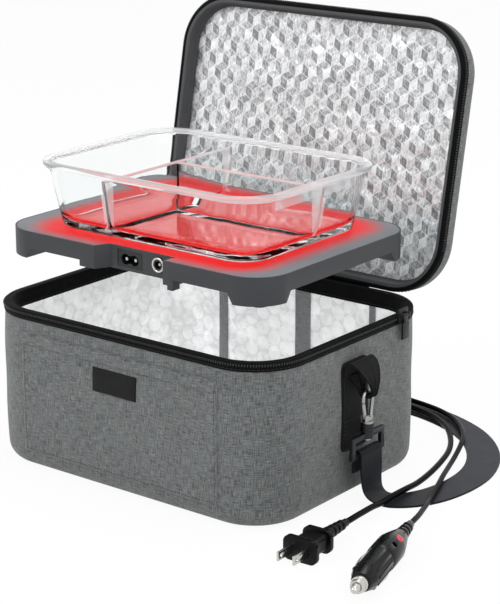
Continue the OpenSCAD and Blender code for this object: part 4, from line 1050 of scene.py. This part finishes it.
# x out from the bag's middle, z and width of the folded webbing, from the patch out over
# its roll, down the outer leaf, under the bow and back up the inner leaf to the patch
LOOP_LINE = [(138.2, 95.5, 30), (138.3, 101, 30.4), (138.9, 104.6, 30), (141, 106.2, 29),
             (144, 105.6, 27.4), (147.4, 103, 25), (150.4, 98.6, 20.5), (152.6, 93, 14.5),
             (153.3, 88, 9), (153.2, 84.2, 6.4), (152.2, 81.9, 6), (150.4, 81.25, 6),
             (148, 81.15, 6), (145.6, 81.25, 6), (143.8, 81.9, 6), (142.8, 84.2, 6.4),
             (142.2, 88, 10.4), (140.6, 93, 16), (139.4, 96.4, 21)]
BOX_SEAM_H = 13              # the sewn box that holds the folded webbing
BOX_SEAM_DOWN = 51           # from the patch's top to that box's middle
for side, word in ((1, "right"), (-1, "left")):
    on_patch = on_side(side, PATCH_TOP - PATCH_H / 2)
    fitted(cloth_plate("patch_" + word, PATCH_W, PATCH_H, PATCH_T, on_patch, black_webbing,
                       rounded_by=0.6, corner=5), "bag", "black_webbing", "side_patch_" + word)
    line = through([(side * x, SIDE_Y, z, width) for x, z, width in LOOP_LINE], 4)
    path = [(Vector(p[:3]), Vector((0, side, 0)), p[3]) for p in line]
    fitted(webbing("hook_loop_" + word, path, black_webbing, WEBBING_T, crimp=1.1),
           "bag", "black_webbing", "strap_loop_" + word)
    edge = box_line(PATCH_W - 4, PATCH_H - 4, on_patch, PATCH_T)
    box = box_line(PATCH_W - 8, BOX_SEAM_H, on_side(side, PATCH_TOP - BOX_SEAM_DOWN), PATCH_T)
    fitted(beads("patch_stitches_" + word, [edge, box], STITCH_GAP, STITCH, black_thread),
           "bag", "black_webbing")


# ---------------------------------------------------------------- shoulder strap
# One length of black webbing: doubled round the bar of each ring and sewn, lying on the
# floor beside and behind the bag, with a three-bar slide of acetal on it.
STRAP_W, STRAP_T = 26, 1.6
RING_Z, BAR_Z = 36, 38
BAR_R = 2.8                  # of the ring's bar, with room for the cloth to turn
fold = BAR_R + STRAP_T / 2
flat = STRAP_T / 2
ring_end = [(HOOK_X - fold, SIDE_Y, RING_Z - 12, 0), (HOOK_X - fold, SIDE_Y, RING_Z - 4, 0),
            *[(HOOK_X + fold * math.cos(math.radians(a)), SIDE_Y,
               BAR_Z + fold * math.sin(math.radians(a)), 0) for a in range(180, -1, -15)]]
# x, y, z and heading in degrees
floor_run = [
    (152, -1, 26, 0), (152.2, 0, 14, 4), (153.4, 2, 7, 10), (157, 5, 2.6, 20),
    (163, 8, flat, 32), (170, 13, flat, 45), (177, 22, flat, 60), (183, 36, flat, 72),
    (186.5, 54, flat, 84), (187, 74, flat, 94), (184, 94, flat, 105), (176, 115, flat, 118),
    (164, 134, flat, 128), (148, 151, flat, 138), (128, 165, flat, 150), (102, 176, flat, 163),
    (74, 182, flat, 174), (46, 182, flat, 182), (18, 176, flat, 190), (-10, 168, flat, 194),
    (-40, 159, flat, 196), (-72, 151, flat, 190), (-104, 148, flat, 182), (-132, 150, flat, 180),
    (-156, 146, flat, 200), (-174, 132, flat, 228), (-184, 110, flat, 250), (-187, 86, flat, 266),
    (-186, 60, flat, 276), (-181, 36, flat, 292), (-173, 18, flat, 312), (-163, 8, flat, 328),
    (-157, 5, 2.6, 340), (-153.4, 2, 7, 350), (-152.2, 0, 14, 356), (-152, -1, 26, 360)]
other_end = [(-x, y, z, 360) for x, y, z, heading in ring_end[::-1]]
strap_line = through([*ring_end, *floor_run, *other_end], 3)
strap_path = [(Vector((x, y, max(z, flat))), Vector((-math.sin(math.radians(heading)),
                                                    math.cos(math.radians(heading)), 0)),
               STRAP_W) for x, y, z, heading in strap_line]
# Its smooth yarn has a bluish shine where it is seen at a low angle
strap_webbing = woven_black("strap_webbing", "#050507", 1.3, 0.5, 0.3,
                            Specular_IOR_Level=0.05, Sheen_Tint=srgb("#b4bad4"),
                            Coat_Weight=0.4, Coat_IOR=1.3, Coat_Roughness=0.3)
fitted(webbing("shoulder_strap_webbing", strap_path, strap_webbing, STRAP_T),
       "bag", "black_webbing", "shoulder_strap")
acetal = grained("black_acetal", "#0c0d0e", 0.45, 0.8, 0.04)
rounded("strap_adjuster", 0.6, acetal, "bag", "black_acetal")


# ---------------------------------------------------------------- rings and snap hooks
# The ring and its ribbed collar are cast zinc with a dark grey finish. The hook and its
# sprung gate are cast zinc with nickel plate, and turn in the collar.
dark_zinc = grained("dark_plated_zinc", "#2f3134", 0.34, 1.4, 0.05, Metallic=0.75)
satin_nickel = grained("satin_nickel_plate", "#a3a3a1", 0.32, 1.2, 0.03, Metallic=1.0)
for word in ("right", "left"):
    rounded("strap_ring_" + word, 0.45, dark_zinc, "bag", "dark_metal")
    rounded("hook_" + word, 0.35, satin_nickel, "hook_" + word, "nickel_plate")
    rounded("hook_gate_" + word, 0.3, satin_nickel, "gate_" + word, "nickel_plate")


# ---------------------------------------------------------------- zip slider
# Die-cast zinc with black paint. It runs on both rows of teeth, and a flat pull tab is
# hung on the bridge on its top.
black_paint = grained("black_painted_zinc", "#17181a", 0.36, 1.0, 0.03, Metallic=0.3)
for node in ("zip_slider", "zip_pull"):
    rounded(node, 0.35, black_paint, node, "black_metal")


# ---------------------------------------------------------------- heater
# A moulded slate-grey housing on four corner feet, with a coated aluminium plate set in its
# top. All of the plate but its border has a painted red glow: red colour and light painted on it.
# Where the painted red glow lies on the plate
GLOW_X, GLOW_Y, GLOW_R = 105, 86, 28                 # half sizes and corner radius
GLOW_SOFT = 24
GLOW_LIGHT = 0.35
slate = grained("slate_polypropylene", "#2b2d31", 0.5, 0.9, 0.06)
rounded("heater_housing", 0.9, slate, "heater", "slate_plastic", segments=3)
plate_with_painted_glow, tree, shader = material("coated_plate_painted_glow", "#6d7074", 0.5, Specular_IOR_Level=0.15)
where = add(tree, "TexCoord").outputs["Object"]
flat_spot = add(tree, "VectorMath", (where, (1, 1, 0)), operation="MULTIPLY")
mirrored = add(tree, "VectorMath", (flat_spot,), operation="ABSOLUTE")
square = ((GLOW_X - GLOW_R) * MM, (GLOW_Y - GLOW_R) * MM, 0)
beyond = add(tree, "VectorMath", (mirrored, square), operation="SUBTRACT")
kept = add(tree, "VectorMath", (beyond, (0, 0, 0)), operation="MAXIMUM")
far = add(tree, "VectorMath", (kept,), operation="LENGTH").outputs["Value"]
# The painted glow's share: 1 in the plate's middle, fading to 0 at its border
painted_glow_share = add(tree, "MapRange", {"Value": far, "From Min": (GLOW_R - GLOW_SOFT / 2) * MM,
                              "From Max": (GLOW_R + GLOW_SOFT / 2) * MM,
                              "To Min": 1.0, "To Max": 0.0}, interpolation_type="SMOOTHSTEP")
tint = add(tree, "Mix", {"Factor": painted_glow_share, "A": srgb("#74777b"), "B": srgb("#b80406")},
           data_type="RGBA")
painted_glow_light = add(tree, "Math", (painted_glow_share, GLOW_LIGHT), operation="MULTIPLY")
speckle = add(tree, "TexNoise", {"Vector": where, "Scale": 1400.0, "Detail": 2.0})
bump = add(tree, "Bump", {"Height": speckle, "Strength": 0.4, "Distance": 0.05 * MM})
# The middle is painted red and given painted red light of its own
join(shader, {"Base Color": tint.outputs["Result"], "Emission Color": srgb("#ff0808"),
              "Emission Strength": painted_glow_light, "Normal": bump})
rounded("heater_plate", 0.4, plate_with_painted_glow, "heater", "plate_coating")
socket_black = grained("socket_black", "#08090a", 0.4, 0.6, 0.03)
rounded("ac_inlet", 0.3, socket_black, "heater", "black_plastic")
rounded("dc_jack", 0.25, socket_black, "heater", "black_plastic")


def ring_round(name, middle, inner, outer, depth, paint):
    """A turned ring that faces the front, with a rolled edge. Sizes in mm."""
    work = bmesh.new()
    lip = (outer - inner) / 2
    section = [(inner + lip - lip * math.cos(math.radians(a)), depth * math.sin(math.radians(a)))
               for a in range(0, 181, 20)]
    count = 48
    rows = [[work.verts.new(Vector((middle[0] + r * math.cos(2 * math.pi * k / count),
                                    middle[1] - out,
                                    middle[2] + r * math.sin(2 * math.pi * k / count))) * MM)
             for r, out in section] for k in range(count)]
    filled(work, [*rows, rows[0]])
    bmesh.ops.recalc_face_normals(work, faces=work.faces)
    return finished(name, work, paint)


JACK_AT = (22, -82.8, 174)
fitted(ring_round("jack_trim_ring", JACK_AT, 4.0, 5.6, 0.6, nickel), "heater", "black_plastic")


def dress(paint, *nodes):
    """Gives frame nodes that keep their own shape a material."""
    for node in nodes:
        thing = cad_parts[node]
        if not thing.material_slots:
            thing.data.materials.append(None)
        for slot in thing.material_slots:
            slot.material = paint


# Pieces inside the heater and the bag, which show only when it is taken apart
dress(grained("slate_cover", "#3a3d41", 0.55, 0.9, 0.06), "heater_base_cover")
dress(grained("zinc_plated_steel", "#b9bcbe", 0.35, 0.8, 0.02, Metallic=1.0), "cover_screws")
dress(grained("foot_rubber", "#1b1b1c", 0.85, 0.7, 0.08), "foot_pads")
dress(grained("silicone_mat_red", "#b5442c", 0.6, 1.0, 0.1), "heating_mat")
dress(grained("mica", "#b9a26a", 0.4, 2.5, 0.04), "mica_sheet")
dress(grained("steatite", "#e6e3dc", 0.45, 0.5, 0.02), "thermostat")
dress(grained("tinned_can", "#bfc1c0", 0.3, 0.8, 0.02, Metallic=1.0), "thermal_fuse",
      "ac_inlet_pins", "dc_jack_pin")
dress(grained("fibreglass_sleeve", "#8e2f27", 0.7, 0.5, 0.05), "wiring")
dress(grained("white_foam", "#eceae4", 0.9, 0.9, 0.2), "bag_foam", "lid_foam")
dress(grained("black_board", "#1d1d1e", 0.8, 1.2, 0.05), "base_board")


# ---------------------------------------------------------------- glass container
# Pressed borosilicate glass: tapered walls with a thick flat lip, and two dividers that
# stop below the rim, so it has one long compartment and two short ones.
GLASS_W, GLASS_D, GLASS_H, GLASS_T = 216, 164, 50, 3.2
BASE_W, BASE_D = 190, 140
LIP_W, LIP_H = 4, 4
GLASS_BASE_Z = 182.2
CORNER_STEPS = 14
SPLIT_X, SPLIT_Y = -36, 8
DIVIDER_LOW = 7
DIVIDER_IN = 6.5             # a divider's end, from the rim's outside
DIVIDER_END = 11             # the ends of a divider look as bright as the lip
DIVIDER_NEAR = 2.2           # faces this near to a divider's middle are its own
GLASS_TURN = 38              # degrees: edges that turn more than this stay sharp


def glass_ring(width, depth, corner, z):
    """One level ring of the container, in mm."""
    spots = []
    for k, (sx, sy) in enumerate(((1, 1), (-1, 1), (-1, -1), (1, -1))):
        x, y = sx * (width / 2 - corner), sy * (depth / 2 - corner)
        spots += [Vector((x + corner * math.cos(a), y + corner * math.sin(a), z))
                  for a in (math.pi / 2 * (k + m / CORNER_STEPS)
                            for m in range(CORNER_STEPS + 1))]
    return spots


def lofted(name, rings):
    """Skins rings of equal count and closes both ends."""
    work = bmesh.new()
    rows = [[work.verts.new(p * MM) for p in ring] for ring in rings]
    filled(work, [[*row, row[0]] for row in rows], flip=True)
    work.faces.new(rows[0][::-1])
    work.faces.new(rows[-1])
    bmesh.ops.recalc_face_normals(work, faces=work.faces)
    return finished(name, work)


def glass_wall(share, inset):
    """Width, depth and corner of the tapered wall at a share of its height."""
    return (BASE_W + (GLASS_W - 2 * LIP_W - BASE_W) * share - 2 * inset,
            BASE_D + (GLASS_D - 2 * LIP_W - BASE_D) * share - 2 * inset,
            24 + 6 * share - inset)


outside = [(glass_wall(0, 9), 0)]
for a in range(0, 91, 15):           # the rounded edge of the base
    rise = 4 * (1 - math.cos(math.radians(a)))
    outside.append((glass_wall(0, 4 - 4 * math.sin(math.radians(a))), rise))
outside += [(glass_wall(0.25, 0), 13), (glass_wall(0.5, 0), 25), (glass_wall(0.75, 0), 37),
            (glass_wall(0.9, -0.2), GLASS_H - LIP_H - 1.2),
            (glass_wall(0.93, -1.2), GLASS_H - LIP_H - 0.4),
            (glass_wall(1, -LIP_W + 1), GLASS_H - LIP_H)]
for a in range(-60, 91, 25):         # round the lip
    outside.append((glass_wall(1, -LIP_W + 1.6 - 1.6 * math.cos(math.radians(a))),
                    GLASS_H - 1.8 + 1.8 * math.sin(math.radians(a))))
floor_rise = GLASS_T + 0.8
inside = [(glass_wall(0, GLASS_T + 14), floor_rise)]
for a in range(0, 91, 15):           # the fillet between floor and walls
    share = 9 * (1 - math.cos(math.radians(a))) / GLASS_H
    inside.append((glass_wall(share, GLASS_T + 9 - 9 * math.sin(math.radians(a))),
                   floor_rise + share * GLASS_H))
inside += [(glass_wall(0.5, GLASS_T), 25), (glass_wall(0.75, GLASS_T), 37),
           (glass_wall(0.95, GLASS_T), GLASS_H - 2), (glass_wall(1, GLASS_T - 0.5), GLASS_H - 0.6),
           (glass_wall(1.02, GLASS_T - 1.2), GLASS_H + 0.5)]
container, hollow = [lofted(name, [glass_ring(*size, GLASS_BASE_Z + rise)
                                   for size, rise in rings])
                     for name, rings in (("glass_container", outside), ("glass_hollow", inside))]


def divider(name, start, end):
    """A wall of glass with a round top and feet that widen into the floor."""
    ahead = (Vector(end) - Vector(start)).normalized()
    across = Vector((-ahead.y, ahead.x))
    section = [(4.6, floor_rise - 0.6), (2.9, floor_rise + 0.9), (2.0, floor_rise + 3),
               (GLASS_T / 2, floor_rise + 8)]
    top = GLASS_H - DIVIDER_LOW - GLASS_T / 2
    section += [(GLASS_T / 2 * math.cos(math.radians(a)),
                 top + GLASS_T / 2 * math.sin(math.radians(a))) for a in range(0, 91, 18)]
    profile = section + [(-a, z) for a, z in section[-2::-1]]
    spots = (Vector(start), Vector(start) + ahead * DIVIDER_END,
             Vector(end) - ahead * DIVIDER_END, Vector(end))
    return lofted(name, [[Vector((spot.x + across.x * a, spot.y + across.y * a,
                                  GLASS_BASE_Z + z)) for a, z in profile] for spot in spots])


def combine(piece, operation, *others):
    """Cuts, joins or trims a solid with others."""
    for other in others:
        step = piece.modifiers.new(operation.lower(), "BOOLEAN")
        step.operation = operation
        step.solver = "EXACT"
        step.object = other
    return baked(piece)


walls = [divider("long_divider", (SPLIT_X, -GLASS_D / 2 + DIVIDER_IN),
                 (SPLIT_X, GLASS_D / 2 - DIVIDER_IN)),
         divider("short_divider", (SPLIT_X, SPLIT_Y), (GLASS_W / 2 - DIVIDER_IN, SPLIT_Y))]
for wall in walls:
    combine(wall, "INTERSECT", container)
combine(container, "DIFFERENCE", hollow)
combine(container, "UNION", *walls)
for used in (hollow, *walls):
    bpy.data.objects.remove(used)
container.data.shade_smooth()
container.data.set_sharp_from_angle(angle=math.radians(GLASS_TURN))
# Its index is kept low, so that it looks as light as thin glass does in a bright studio
clear_glass, tree, shader = material("borosilicate_glass", "#fbfdfd", 0.02, IOR=1.2,
                                     Transmission_Weight=1.0)
waves = add(tree, "TexNoise", {"Vector": add(tree, "TexCoord").outputs["Object"], "Scale": 45.0})
join(shader, {"Normal": add(tree, "Bump", {"Height": waves, "Strength": 0.12,
                                           "Distance": 1.0 * MM})})
# A half white glass: a painted highlight that makes the thick lip look bright
lip_glass = material("lip_glass_painted_highlight", "#f7f9fa", 0.06, IOR=1.2, Transmission_Weight=0.6)[0]
container.data.materials.clear()
for paint in (clear_glass, lip_glass):
    container.data.materials.append(paint)
# The lip, the dividers' tops and their ends take the second glass, with its painted highlight
for face in container.data.polygons:
    x, y, z = face.center / MM
    by_long = abs(x - SPLIT_X) < DIVIDER_NEAR
    by_short = abs(y - SPLIT_Y) < DIVIDER_NEAR and x > SPLIT_X
    at_end = (by_long and abs(y) > GLASS_D / 2 - 7 - DIVIDER_END
              or by_short and x > GLASS_W / 2 - 7 - DIVIDER_END)
    low = (3 if at_end else GLASS_H - DIVIDER_LOW - 2 if by_long or by_short
           else GLASS_H - LIP_H - 0.5)
    if z > GLASS_BASE_Z + low:
        face.material_index = 1
fitted(container, "container", "clear_glass", "food_container")
